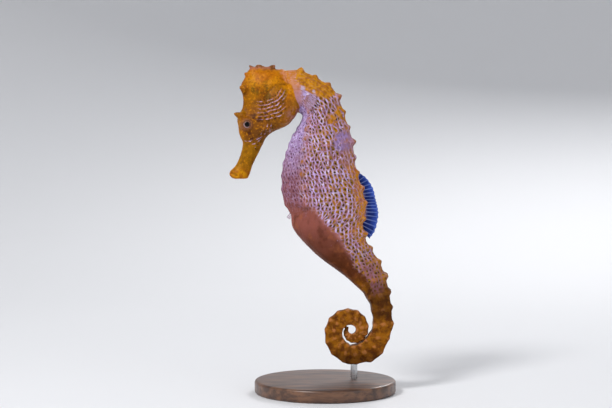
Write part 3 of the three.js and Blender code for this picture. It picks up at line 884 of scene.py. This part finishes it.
def fan_piece(name, fin, notch, side=1, sunk=0.0):
    """A fan-shaped fin, drawn along +X, flared out to its side, aimed and sunk into the body at its root."""
    half = math.radians(fin["spread"] / 2)
    angle = np.linspace(-half, half, fin["rays"] * COLUMNS_PER_RAY + 1)
    roots = np.stack([np.full_like(angle, -sunk), fin["root"] * angle / half], axis=1)
    tips = fin["length"] * np.stack([np.cos(angle), np.sin(angle)], axis=1)
    f, a = math.radians(side * fin["flare"]), math.radians(fin["aim"])
    flare = np.array([[math.cos(f), math.sin(f), 0], [-math.sin(f), math.cos(f), 0], [0, 0, 1]])
    aim = np.array([[math.cos(a), 0, math.sin(a)], [0, 1, 0], [-math.sin(a), 0, math.cos(a)]])
    roots, tips = (in_space(flat) @ flare @ aim + mirrored(fin["at"], side) for flat in (roots, tips))
    return rayed_fin(name, roots, tips, np.array([0, 1, 0]) @ flare @ aim, fin["rays"], notch)


def quarter(centre, radius, start_deg, count):
    """A quarter circle of a profile."""
    angles = np.radians(np.linspace(start_deg, start_deg + 90, count))
    return [(centre[0] + radius * math.cos(a), centre[1] + radius * math.sin(a)) for a in angles]


def turned_loops(profile, count):
    """Loops round Z through a profile's radii and heights."""
    angle = full_turn(count)
    return np.array([level_loop(r * np.cos(angle), r * np.sin(angle), z) for r, z in profile])


def turned_piece(name, node, bend, segments):
    """A round post or plate that fills a CAD node's box, with rounded edges."""
    low, high = (np.array(corner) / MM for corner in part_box(node))
    radius = (high[0] - low[0]) / 2
    height = high[2] - low[2]
    low_edge = quarter((radius - bend, bend), bend, -90, 8)
    high_edge = quarter((radius - bend, height - bend), bend, 0, 8)
    loops = turned_loops([(radius / 2, 0), *low_edge, *high_edge, (radius / 2, height)], segments)
    return tube(name, loops, origin=np.array([(low[0] + high[0]) / 2, 0, low[2]]))


# ---- paint helpers

def srgb(colour):
    """A colour of the screen, 0 to 255, as the renderer counts light."""
    shares = np.array(colour) / 255
    light = np.where(shares <= 0.04045, shares / 12.92, ((shares + 0.055) / 1.055) ** 2.4)
    return tuple(float(v) for v in light)


def put(socket, value):
    """Feeds a node's input with a value, a number, a plain vector or a colour of the screen."""
    if isinstance(value, Value):
        value.tree.links.new(value.socket, socket)
    elif socket.type == "RGBA":
        socket.default_value = (*srgb(value), 1)
    else:
        socket.default_value = value


def outputs_of(tree, kind, inputs, **settings):
    """The outputs of a new node."""
    node = tree.nodes.new("ShaderNode" + kind)
    for name, value in settings.items():
        setattr(node, name, value)
    for name, value in inputs.items():
        put(node.inputs[name], value)
    return node.outputs


class Value:
    """An output of a node. Each operator and method adds the next node to the tree."""

    def __init__(self, tree, socket):
        self.tree = tree
        self.socket = socket

    def node(self, kind, inputs, output=0, **settings):
        return Value(self.tree, outputs_of(self.tree, kind, inputs, **settings)[output])

    def math(self, operation, *others):
        kind = "Math" if self.socket.type == "VALUE" else "VectorMath"
        return self.node(kind, dict(enumerate((self, *others))), operation=operation)

    __add__ = partialmethod(math, "ADD")
    __sub__ = partialmethod(math, "SUBTRACT")
    __mul__ = partialmethod(math, "MULTIPLY")
    __abs__ = partialmethod(math, "ABSOLUTE")
    most = partialmethod(math, "MAXIMUM")

    def __rsub__(self, other):
        return self * -1 + other

    def rise(self, low, high):
        """0 below low, 1 above high and smooth between. With low above high it falls instead."""
        inputs = {"Value": self, "From Min": low, "From Max": high}
        return self.node("MapRange", inputs, interpolation_type="SMOOTHSTEP")

    def band(self, low, high, soft):
        return self.rise(low - soft, low) * self.rise(high + soft, high)

    def blend(self, first, second):
        """The first colour where this share is 0, and the second where it is 1."""
        share, a, b, result = 0, 6, 7, 2  # the mix node's sockets for colours
        return self.node("Mix", {share: self, a: first, b: second}, result, data_type="RGBA")

    def under(self, share, colour):
        """This colour, with a share of another over it."""
        return share.blend(self, colour)

    def split(self):
        return [Value(self.tree, socket) for socket in outputs_of(self.tree, "SeparateXYZ", {0: self})]

    def around(self, centre):
        """Distance and angle of a place round a centre in the XZ plane."""
        x, _, z = self.split()
        across, up = x - centre[0], z - centre[1]
        return (across * across + up * up).math("SQRT"), up.math("ARCTAN2", across)

    def noise(self, size, detail=2, output=0):
        return self.node("TexNoise", {"Vector": self, "Scale": 1 / size, "Detail": detail}, output)

    def patches(self, size, low, high, detail=2):
        """Soft-edged patches of that size, 1 where the noise is above high."""
        return self.noise(size, detail).rise(low, high)

    def wander(self, size, reach):
        """A small vector that drifts with the place."""
        return (self.noise(size, output="Color") - (0.5,) * 3) * ((2 * reach,) * 3)

    def cells(self, feature):
        """Outputs of a flat pattern of uneven cells."""
        inputs = {"Vector": self, "Scale": 1, "Randomness": LACE["unevenness"]}
        outputs = outputs_of(self.tree, "TexVoronoi", inputs, feature=feature, voronoi_dimensions="2D")
        return {name: Value(self.tree, socket) for name, socket in outputs.items()}


class Paint:
    """One material, which reads what is stored with the mesh."""

    def __init__(self, name, **constants):
        self.material = bpy.data.materials.new(name)
        self.material.use_nodes = True
        self.tree = self.material.node_tree
        self.shader = self.tree.nodes["Principled BSDF"]
        for socket, value in constants.items():
            put(self.shader.inputs[socket.replace("_", " ")], value)

    def node(self, kind, inputs, output=0, **settings):
        return Value(self.tree, outputs_of(self.tree, kind, inputs, **settings)[output])

    def number(self, name):
        return self.node("Attribute", {}, "Fac", attribute_name=name)

    def vector(self, name):
        return self.node("Attribute", {}, "Vector", attribute_name=name)

    def object_place(self):
        return self.node("TexCoord", {}, "Object")

    def flat_place(self, x, y):
        return self.node("CombineXYZ", {0: x, 1: y})

    def bump(self, height, depth_mm, strength):
        inputs = {"Height": height, "Distance": depth_mm * MM, "Strength": strength}
        put(self.shader.inputs["Normal"], self.node("Bump", inputs))

    def finish(self, colour, roughness=None):
        put(self.shader.inputs["Base Color"], colour)
        if roughness is not None:
            put(self.shader.inputs["Roughness"], roughness)
        return self.material


# ---- the skin's paint

SKIN_NUMBERS = ("ring", "girth", "head", "raised", "crowns", "knobs", "bars", "net", "nape", "saddle")


def skin_sources(p):
    """What the parts of the skin's paint start from."""
    s = SimpleNamespace(**{name: p.number(name) for name in SKIN_NUMBERS})
    s.place, s.unroll = p.vector("place"), p.vector("unroll")
    s.x, s.y, s.z = s.place.split()
    s.patch = s.place.noise(5)
    s.fine = s.place.noise(1.2, 3)
    s.torn = (s.place.noise(3, 3) - 0.5) * 5
    s.ragged = s.patch * 3 + s.fine * 1.2 - 2.1
    s.on_belly = (s.girth + s.ragged * 0.3).rise(4.2, 5.6)
    s.on_saddle = (s.saddle + s.torn * 0.35 + s.ragged * 0.3).rise(-0.3, 0.5)
    return s


def spotted(colour, place, fine, spots, strength, tint):
    """A colour with soft round spots over it."""
    for x, z, radius in spots:
        away = place.around((x, z))[0] + (fine - 0.5) * 1.2
        colour = colour.under(away.rise(radius, radius * 0.3) * strength, tint)
    return colour


def flank_ground(s, centre, odd):
    """Ochre and mauve, and towards the belly smooth lilac above and rosy brown below."""
    warm = s.patch + (s.girth - 3) * -0.03
    low = (s.ring + (s.patch - 0.5) * 5).rise(4.5, 9.5)
    pale = low.blend((214, 200, 236), (148, 100, 110))
    smooth = low.blend((156, 130, 178), (114, 66, 72)).under(s.place.patches(0.8, 0.46, 0.66) * 0.65, pale)
    return (
        warm.rise(0.43, 0.56).blend((138, 86, 86), (162, 110, 16))
        .under(odd.rise(0.35, 0.8), (132, 92, 34))
        .under(centre.rise(0.42, 0.2) * 0.45, (112, 78, 16))
        .under(s.on_belly, smooth)
        .under(s.on_belly.band(0.3, 0.7, 0.25) * s.place.patches(2.6, 0.36, 0.56) * 0.5, (164, 98, 70))
    )


def lace_thread(s):
    """Streaky lilac with bright glints that are painted highlights, turning mauve on the tail."""
    streaks = (s.unroll * (1.5, 0.4, 0)).patches(1.2, 0.36, 0.6)
    return (
        streaks.blend((146, 108, 134), (192, 168, 220))
        # painted highlight: pale glints scattered over the thread
        .under(s.place.patches(1.9, 0.56, 0.68) * 0.75, (224, 212, 244))
        .under(s.ring.rise(11.8, 15.2) * 0.85, (126, 76, 82))
    )


def paint_flank(s):
    """Lilac lace, strongest along the body and fainter on the belly, with a dark dot in most meshes."""
    grid = (s.unroll + s.place.wander(2.2, 0.5)) * (1 / LACE["across"], 1 / LACE["along"], 0)
    cell = grid.cells("F1")
    centre = cell["Distance"]
    odd = cell["Color"].split()
    beside, above, _ = abs(grid - cell["Position"]).split()
    lengthwise = (beside - above).rise(-0.25, 0.15)
    width = s.fine * 0.22 + lengthwise * 0.07 - 0.02
    lace = grid.cells("DISTANCE_TO_EDGE")["Distance"].rise(width + 0.11, width - 0.03)
    lace = lace * (lengthwise * 0.45 + 0.5)
    strength = (0.97 - s.on_belly * 0.7) * s.place.patches(1.7, 0.2, 0.4)

    radius = odd[0] * 0.14 + 0.1
    dot = centre.rise(radius + 0.1, radius - 0.06)
    dot = dot * odd[2].rise(s.on_belly * 0.3, s.on_belly * 0.3 + 0.15)
    ink = odd[1].rise(0.3, 0.7).blend((70, 46, 8), (44, 26, 14)).under(s.on_belly, (76, 36, 48))
    colour = flank_ground(s, centre, odd[1]).under(lace * strength, lace_thread(s)).under(dot * 0.92, ink)
    return colour, lace, dot


def paint_back(s, colour, lace):
    """The ridge, the yellow saddle and a patch behind it, the fin's foot and the spots on tubercles."""
    back = s.girth + s.ragged + s.torn * 0.5
    along = s.ring + s.torn * 0.8
    ridge = s.ring.rise(10.5, 12.5).blend((160, 108, 90), (162, 106, 34))
    behind = back.rise(2.3, 1.7) * along.band(4.3, 4.9, 0.5)
    gold = s.fine.rise(0.42, 0.62).blend((190, 126, 10), (152, 92, 12))
    foot = s.place.patches(2, 0.5, 0.66, 3).blend((190, 124, 14), (156, 92, 84))
    foot = foot.under(s.fine.rise(0.46, 0.66), (150, 84, 30))
    at_fin = back.rise(2.4, 1) * along.band(DORSAL_FIN["from"] - 0.2, DORSAL_FIN["to"], 1.2)
    spots = (s.crowns + (s.fine - 0.5) * 0.9).rise(0.2, 0.66)
    spots = spots * s.ring.rise(19, 17) * s.girth.rise(6.4, 5.6)
    return (
        colour.under(back.rise(2.2, 1) * 0.55, ridge)
        .under(s.on_saddle.most(behind) * 0.94, gold)
        .under(at_fin * (0.95 - lace * 0.45), foot)
        .under(spots * (0.8 - lace * 0.45), (158, 98, 34))
    )


def nape_colour(s):
    rosy = s.fine.rise(0.42, 0.6).blend((190, 126, 88), (182, 112, 36))
    return rosy.under((s.z + s.patch * 3).rise(89, 83.5) * 0.75, (166, 124, 142))


def paint_pouch(s):
    """A smooth brown brood pouch, rosy above and along the lace, and darker below as painted shade."""
    drift = s.z + s.place.noise(7) * 9
    return (
        # painted shade: the pouch goes from rosy brown above to dark brown below
        drift.rise(44, 28).blend((132, 74, 64), (84, 40, 14))
        .under(s.place.patches(3.2, 0.46, 0.68, 3) * 0.55, (74, 34, 14))
        .under(s.place.patches(4, 0.5, 0.7, 3) * 0.35, (160, 92, 52))
        .under(s.net.rise(0, 0.5) * s.z.rise(22, 32) * 0.6, (166, 106, 104))
    )


def paint_tail(s):
    """Golden-brown plates with paler knobs, bars paled by a painted highlight, and painted shade in the
    grooves, at the shank and under the coil.
    """
    ragged = s.place.noise(0.8) * 1.1 + s.place.noise(3.5) * 2.4 - 1.8
    # where the shank gets painted shade
    shank = s.z.band(6, 17, 4) * s.x.rise(3, 7)
    return (
        s.place.patches(2.4, 0.4, 0.62, 3).blend((94, 48, 4), (140, 84, 6))
        .under(s.place.patches(0.9, 0.54, 0.68) * 0.55, (164, 104, 20))
        # painted highlight on the tops of the bars across the rings
        .under(s.bars * 0.35, (158, 98, 26))
        # painted shade in the grooves between the rings
        .under(s.raised.rise(0, -0.12) * 0.4, (66, 34, 6))
        .under((s.knobs + ragged).rise(0.4, 1) * 0.62, (184, 118, 68))
        # painted shade: the shank and the underside of the coil darkened
        .under(shank.most(s.z.rise(-5, -10)) * 0.6, (48, 22, 2))
    )


def cheek_arcs(place, arcs):
    """Thin curved stripes round a centre on the cheek, and the staggered rows of dots between them."""
    (first, last), spacing = arcs["radii"], arcs["spacing"]
    far, angle = place.around(arcs["centre"])
    far = far + (place.noise(3) - 0.5) * 1.3
    count = (far - first) * (1 / spacing)
    off_stripe = abs(count.math("FRACT") - 0.5) * spacing
    inside = far.band(first, last, 0.4) * angle.band(*map(math.radians, arcs["degrees"]), 0.12)
    width = place.noise(1.3) * 0.3 + 0.08
    stripe = off_stripe.rise(width, width * 0.2) * inside
    row = (count + 0.5).math("FLOOR")
    beads = angle * ((first + last) / 2 / BEAD_SPACING) + row * 0.45 + place.noise(1.6) * 1.6
    off_bead = abs(beads.math("FRACT") - 0.5) * BEAD_SPACING
    off_row = spacing / 2 - off_stripe
    from_bead = (off_bead * off_bead + off_row * off_row).math("SQRT")
    return stripe, from_bead.rise(0.46, 0.24) * inside


def head_gold(s, fine):
    """The golden ground: brighter on top as a painted highlight and at the rear in its own colour, browner on
    the cheek and round the snout's root.
    """
    x, z = s.x, s.z
    patch = s.place.patches(6, 0.4, 0.62)
    # bright: a painted highlight on the top of the head, joined with the rear's own brighter gold
    bright = (z + fine * 2).rise(85.5, 88.5).most(x.rise(-26.5, -22.5))
    temple = s.place.patches(3.2, 0.48, 0.6) * z.band(81, 87, 1.5) * x.band(-35, -24, 2)
    snout = fine.rise(0.42, 0.62).blend((148, 98, 3), (124, 78, 2))
    lips = fine.rise(0.42, 0.6).blend((198, 132, 4), (164, 92, 10))
    flecks = s.place.noise(0.75, 3)
    return (
        patch.blend((150, 93, 2), (132, 74, 2))
        .under(bright, patch.blend((190, 122, 4), (172, 98, 4)))
        .under(x.rise(-35.5, -38) * z.band(76, 88, 2) * 0.4, (104, 62, 2))
        .under(fine.rise(0.5, 0.66) * z.band(77, 88, 3) * 0.6, (108, 58, 6))
        .under(temple * 0.65, (88, 66, 12))
        .under(z.band(69, 80.5, 2) * x.rise(-36.5, -33) * 0.6, (118, 70, 24))
        .under(z.rise(69.5, 65), snout)
        .under(z.band(67, 70.5, 1.8) * x.rise(-38.6, -36.4) * 0.5, (84, 48, 16))
        .under(z.rise(59, 55) * 0.85, lips)
        .under(flecks.rise(0.54, 0.66) * 0.5, (206, 132, 12))
        .under(flecks.rise(0.44, 0.34) * 0.5, (104, 60, 4))
    )


def paint_head(s):
    """Gold with lilac stripes and dark dots on the cheek, a rosy throat and coronet, brown lids, and painted
    shade in the hollows.
    """
    place, x, z = s.place, s.x, s.z
    fine = place.noise(1.5, 3)
    stripes, beads = cheek_arcs(place, CHEEK_ARCS)
    low_stripes, low_beads = cheek_arcs(place, LOW_ARCS)
    root_stripe, _ = cheek_arcs(place, ROOT_ARC)
    outside = abs(s.y).rise(1.2, 2.4)
    drift = (place.noise(2.2) - 0.5) * 5
    clear = outside * (x + drift).rise(-22.9, -24.6) * (x + drift).rise(-33.8, -31.8)
    faint = place.patches(1.6, 0.4, 0.6)
    low_clear = outside * (z + drift * 0.3).rise(77, 75) * faint
    dots = (beads * clear).most(low_beads * low_clear)
    cover = (stripes * clear).most(low_stripes.most(root_stripe) * low_clear * 0.9)
    lilac = faint.blend((160, 118, 130), (196, 172, 208))
    gold = head_gold(s, fine).under(dots * 0.85, (66, 42, 8))
    gold = gold.under(cover * place.patches(1.1, 0.38, 0.54) * 0.9, lilac)
    gold = spotted(gold, place, fine, HEAD_SPOTS, outside * 0.8, (66, 32, 20))

    throat = place.around(THROAT)[0].rise(4.4, 2) * fine.rise(0.42, 0.6)
    lids = place.around(EYE["at"][::2])[0].rise(2.6, 1.7) * outside
    crown = (z + fine * 2.4).rise(92.6, 93.8) * x.rise(-21.5, -24.5)
    return (
        gold.under(throat * 0.5, (166, 116, 118))
        .under(lids * 0.6, (124, 80, 56))
        .under(crown * 0.85, fine.rise(0.42, 0.6).blend((160, 104, 84), (104, 66, 36)))
        # painted shade in the hollows: mouth, pits and grooves
        .under(s.raised.rise(0, -0.2) * 0.4, (88, 50, 6))
    )


def skin_paint():
    p = Paint("seahorse_skin", Subsurface_Weight=0.06, Subsurface_Scale=0.0005, Specular_IOR_Level=0.08)
    s = skin_sources(p)
    colour, lace, dot = paint_flank(s)
    dusky = s.place.around(DUSKY_PATCH)[0].rise(4.6, 2.6) * s.fine.rise(0.3, 0.5)
    pale = s.place.around(PALE_PATCH)[0].rise(3.6, 1.6) * s.fine.rise(0.36, 0.56)
    colour = colour.under(dusky * 0.8, (140, 114, 166)).under(pale * 0.85, (178, 158, 208))
    rosy = nape_colour(s)
    nape = (s.ring + s.ragged * 0.3).rise(0.9, 0.2) * s.girth.rise(5.8, 4.8) * (1 - s.on_saddle)
    colour = paint_back(s, colour, lace).under(nape * 0.92, rosy)
    colour = spotted(colour, s.place, s.fine, NECK_SPOTS, 0.7, (212, 196, 224))

    tail = paint_tail(s)
    under = (s.ring + s.patch * 2).rise(15.4, 17.4).blend(paint_pouch(s), tail)
    uneven = s.fine - 0.5
    low = (s.ring + uneven * 1.5).rise(9.6, 11.3) * (s.net + uneven * 1.4).rise(0.76, 0.26)
    keel = s.girth.rise(6.3, 6.9) * s.ring.rise(9.5, 12) * s.ring.rise(24, 21)
    on_nape = (s.nape + s.ragged * 0.5).rise(-0.3, 0.5)
    on_head = (s.head + uneven * 0.5).rise(0.35, 0.6)
    colour = (
        colour.under(low, under)
        .under((s.ring + s.ragged * 0.3).rise(15.3, 16.6), tail)
        .under(keel * 0.45, (158, 92, 82))
        .under(on_head, paint_head(s).under(on_nape * 0.92, rosy))
    )
    p.bump(s.place.noise(0.45, 3) * 0.6 + (lace - dot) * (1 - on_head) * 0.35, 0.12, 0.8)
    return p.finish(colour, s.fine * 0.3 + 0.3)


# ---- the other paints

def eye_paint():
    """A black pupil in a narrow brown iris, with a pale crescent below and in front."""
    p = Paint("eye", Coat_Weight=0.2, Coat_Roughness=0.03, Specular_IOR_Level=0.05, Roughness=0.3)
    far, spoke = p.number("from_sight"), p.vector("spoke")
    streaks = (spoke * (3, 3, 3) + p.flat_place(far, 0)).noise(0.5, 3)
    skin = streaks.rise(0.42, 0.6).blend((132, 86, 48), (98, 58, 30))
    forward, _, upward = spoke.split()
    crescent = (forward + upward * 1.3).rise(0.1, -1.1) * far.band(1.02, 1.2, 0.16)
    return p.finish(
        streaks.rise(0.4, 0.62).blend((92, 54, 36), (130, 92, 78))
        .under(far.rise(1.15, 1.5), skin)
        .under(crescent * 0.42, (188, 162, 172))
        .under(far.rise(PUPIL_RADIUS + 0.12, PUPIL_RADIUS + 0.02), (120, 82, 60))
        .under(far.rise(PUPIL_RADIUS + 0.03, PUPIL_RADIUS - 0.03), (5, 4, 7))
    )


def dorsal_fin_paint():
    """Deep blue skin with pale rays, lilac at the middle of its foot, and softer blue towards its edge."""
    p = Paint("dorsal_fin", Roughness=0.5, Specular_IOR_Level=0.1)
    on_ray, out, turn = map(p.number, ("on_ray", "out", "turn"))
    ripple = p.flat_place(turn * 0.9, out * 3).noise(0.8)
    ray = out.rise(0.2, 0.85).blend((146, 160, 218), (92, 116, 188))
    foot = (out + ripple * 0.35).rise(0.62, 0.36) * turn.band(6.5, 12.5, 2.5)
    return p.finish(
        out.rise(0.3, 0.85).blend((14, 34, 104), (44, 70, 158))
        .under(ripple.rise(0.42, 0.62) * 0.7, (20, 38, 112))
        .under(on_ray.rise(0.16, 0.7) * 0.9, ray)
        .under(foot * 0.6, (178, 158, 202))
        .under(out.rise(0.86, 0.98) * 0.6, (86, 112, 190))
    )


def clear_fin_paint():
    p = Paint("clear_fin", Roughness=0.4, Alpha=0.36, Specular_IOR_Level=0.2)
    skin = p.number("out").rise(0, 0.5).blend((168, 108, 88), (172, 140, 168))
    return p.finish(skin.under(p.number("on_ray").rise(0.3, 0.85) * 0.8, (150, 104, 92)))


def wood_paint():
    """Dark oiled walnut with its grain running from side to side."""
    p = Paint("stand_wood", Coat_Weight=0.25, Coat_Roughness=0.25)
    place = p.object_place()
    bent = place + place.wander(0.03, 1) * (0, 0.004, 0.004)
    grain = (bent * (0.12, 1, 1)).patches(0.0022, 0.36, 0.66, 4)
    pores = (place * (0.06, 1, 1)).noise(0.0005)
    p.bump(pores, 0.05, 0.3)
    colour = grain.blend((66, 42, 30), (112, 76, 52)).under(pores.rise(0.56, 0.7) * 0.5, (40, 26, 20))
    return p.finish(colour, pores * 0.2 + 0.3)


def steel_paint():
    """Brushed steel, with fine scratches round the rod."""
    p = Paint("stand_steel", Metallic=1)
    scratches = (p.object_place() * (0.05, 0.05, 1)).noise(0.00012)
    return p.finish(scratches.blend((176, 178, 182), (206, 208, 210)), scratches * 0.2 + 0.18)


def studio_paint():
    p = Paint("studio", Roughness=0.9)
    return p.finish(p.object_place().noise(0.4).blend((222, 223, 226), (228, 228, 230)))


# ---- studio

def studio_bowl():
    """A floor that turns up into a wall all round, far from the stand."""
    flat, bend = STUDIO["floor"], STUDIO["bend"]
    profile = [(0.001, 0), (flat / 2, 0), *quarter((flat, bend), bend, -90, 24)]
    profile.append((flat + bend, STUDIO["wall"]))
    loops = turned_loops(profile, 96)
    bowl = mesh_object("studio_bowl", loops.reshape(-1, 3) / MM, grid_faces(*loops.shape[:2]), origin=0)
    bowl.data.shade_smooth()
    bowl.data.materials.append(studio_paint())


def studio_light():
    for name, (place, diameter, power) in LIGHTS.items():
        data = bpy.data.lights.new(name, "AREA")
        data.shape = "DISK"
        data.size = diameter
        data.energy = power
        light = link(name, data)
        light.location = place
        light.rotation_euler = (LIT_POINT - Vector(place)).to_track_quat("-Z", "Y").to_euler()
        light.visible_camera = False
    world = bpy.data.worlds.new("world")
    world.use_nodes = True
    sky = world.node_tree.nodes["Background"]
    sky.inputs["Color"].default_value = SKY_COLOUR
    sky.inputs["Strength"].default_value = SKY_STRENGTH
    bpy.context.scene.world = world
    bpy.context.scene.view_settings.view_transform = "Standard"


def camera():
    data = bpy.data.cameras.new("camera")
    data.lens = LENS_MM
    data.sensor_width = SENSOR_MM
    distance = FRAME_WIDTH_PX * MM_PER_PX * LENS_MM / SENSOR_MM
    lift = math.radians(CAMERA_LIFT_DEG)
    place = ANIMAL + FRAME_CENTRE + distance * np.array([0, -math.cos(lift), math.sin(lift)])
    obj = link("camera", data)
    obj.location = Vector(place * MM)
    obj.rotation_euler = (math.pi / 2 - lift, 0, 0)
    bpy.context.scene.camera = obj


# ---- assembly

FLESH = [
    "head", "snout", "coronet", "neck", "trunk", "brood_pouch", "tail_base", "tail_shank", "tail_bend",
    "tail_coil_outer", "tail_coil_top", "tail_coil_inner",
]


def dress(piece, slot, paint, *nodes):
    piece.data.shade_smooth()
    piece.data.materials.append(paint)
    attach(piece, "root")
    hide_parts(*nodes)


def seahorse():
    dress(skin_piece(), "skin_body", skin_paint(), *FLESH)
    eye_look, clear_look = eye_paint(), clear_fin_paint()
    for side, name in ((LEFT, "left"), (RIGHT, "right")):
        dress(eye_piece("eye_ball_" + name, side), "eye", eye_look, "eye_" + name)
        fin = fan_piece("pectoral_skin_" + name, PECTORAL_FIN, 0.1, side)
        dress(fin, "clear_fin", clear_look, "pectoral_fin_" + name)
    dress(fan_piece("anal_fin_skin", ANAL_FIN, 0.05, sunk=1.0), "clear_fin", clear_look, "anal_fin")
    dress(dorsal_fin_piece(), "dorsal_fin", dorsal_fin_paint(), "dorsal_fin")


def stand():
    dress(turned_piece("stand_plate", "stand_base", 0.9, 128), "stand_wood", wood_paint(), "stand_base")
    dress(turned_piece("stand_post", "stand_rod", 0.15, 48), "stand_steel", steel_paint(), "stand_rod")


seahorse()
stand()
studio_bowl()
studio_light()
camera()
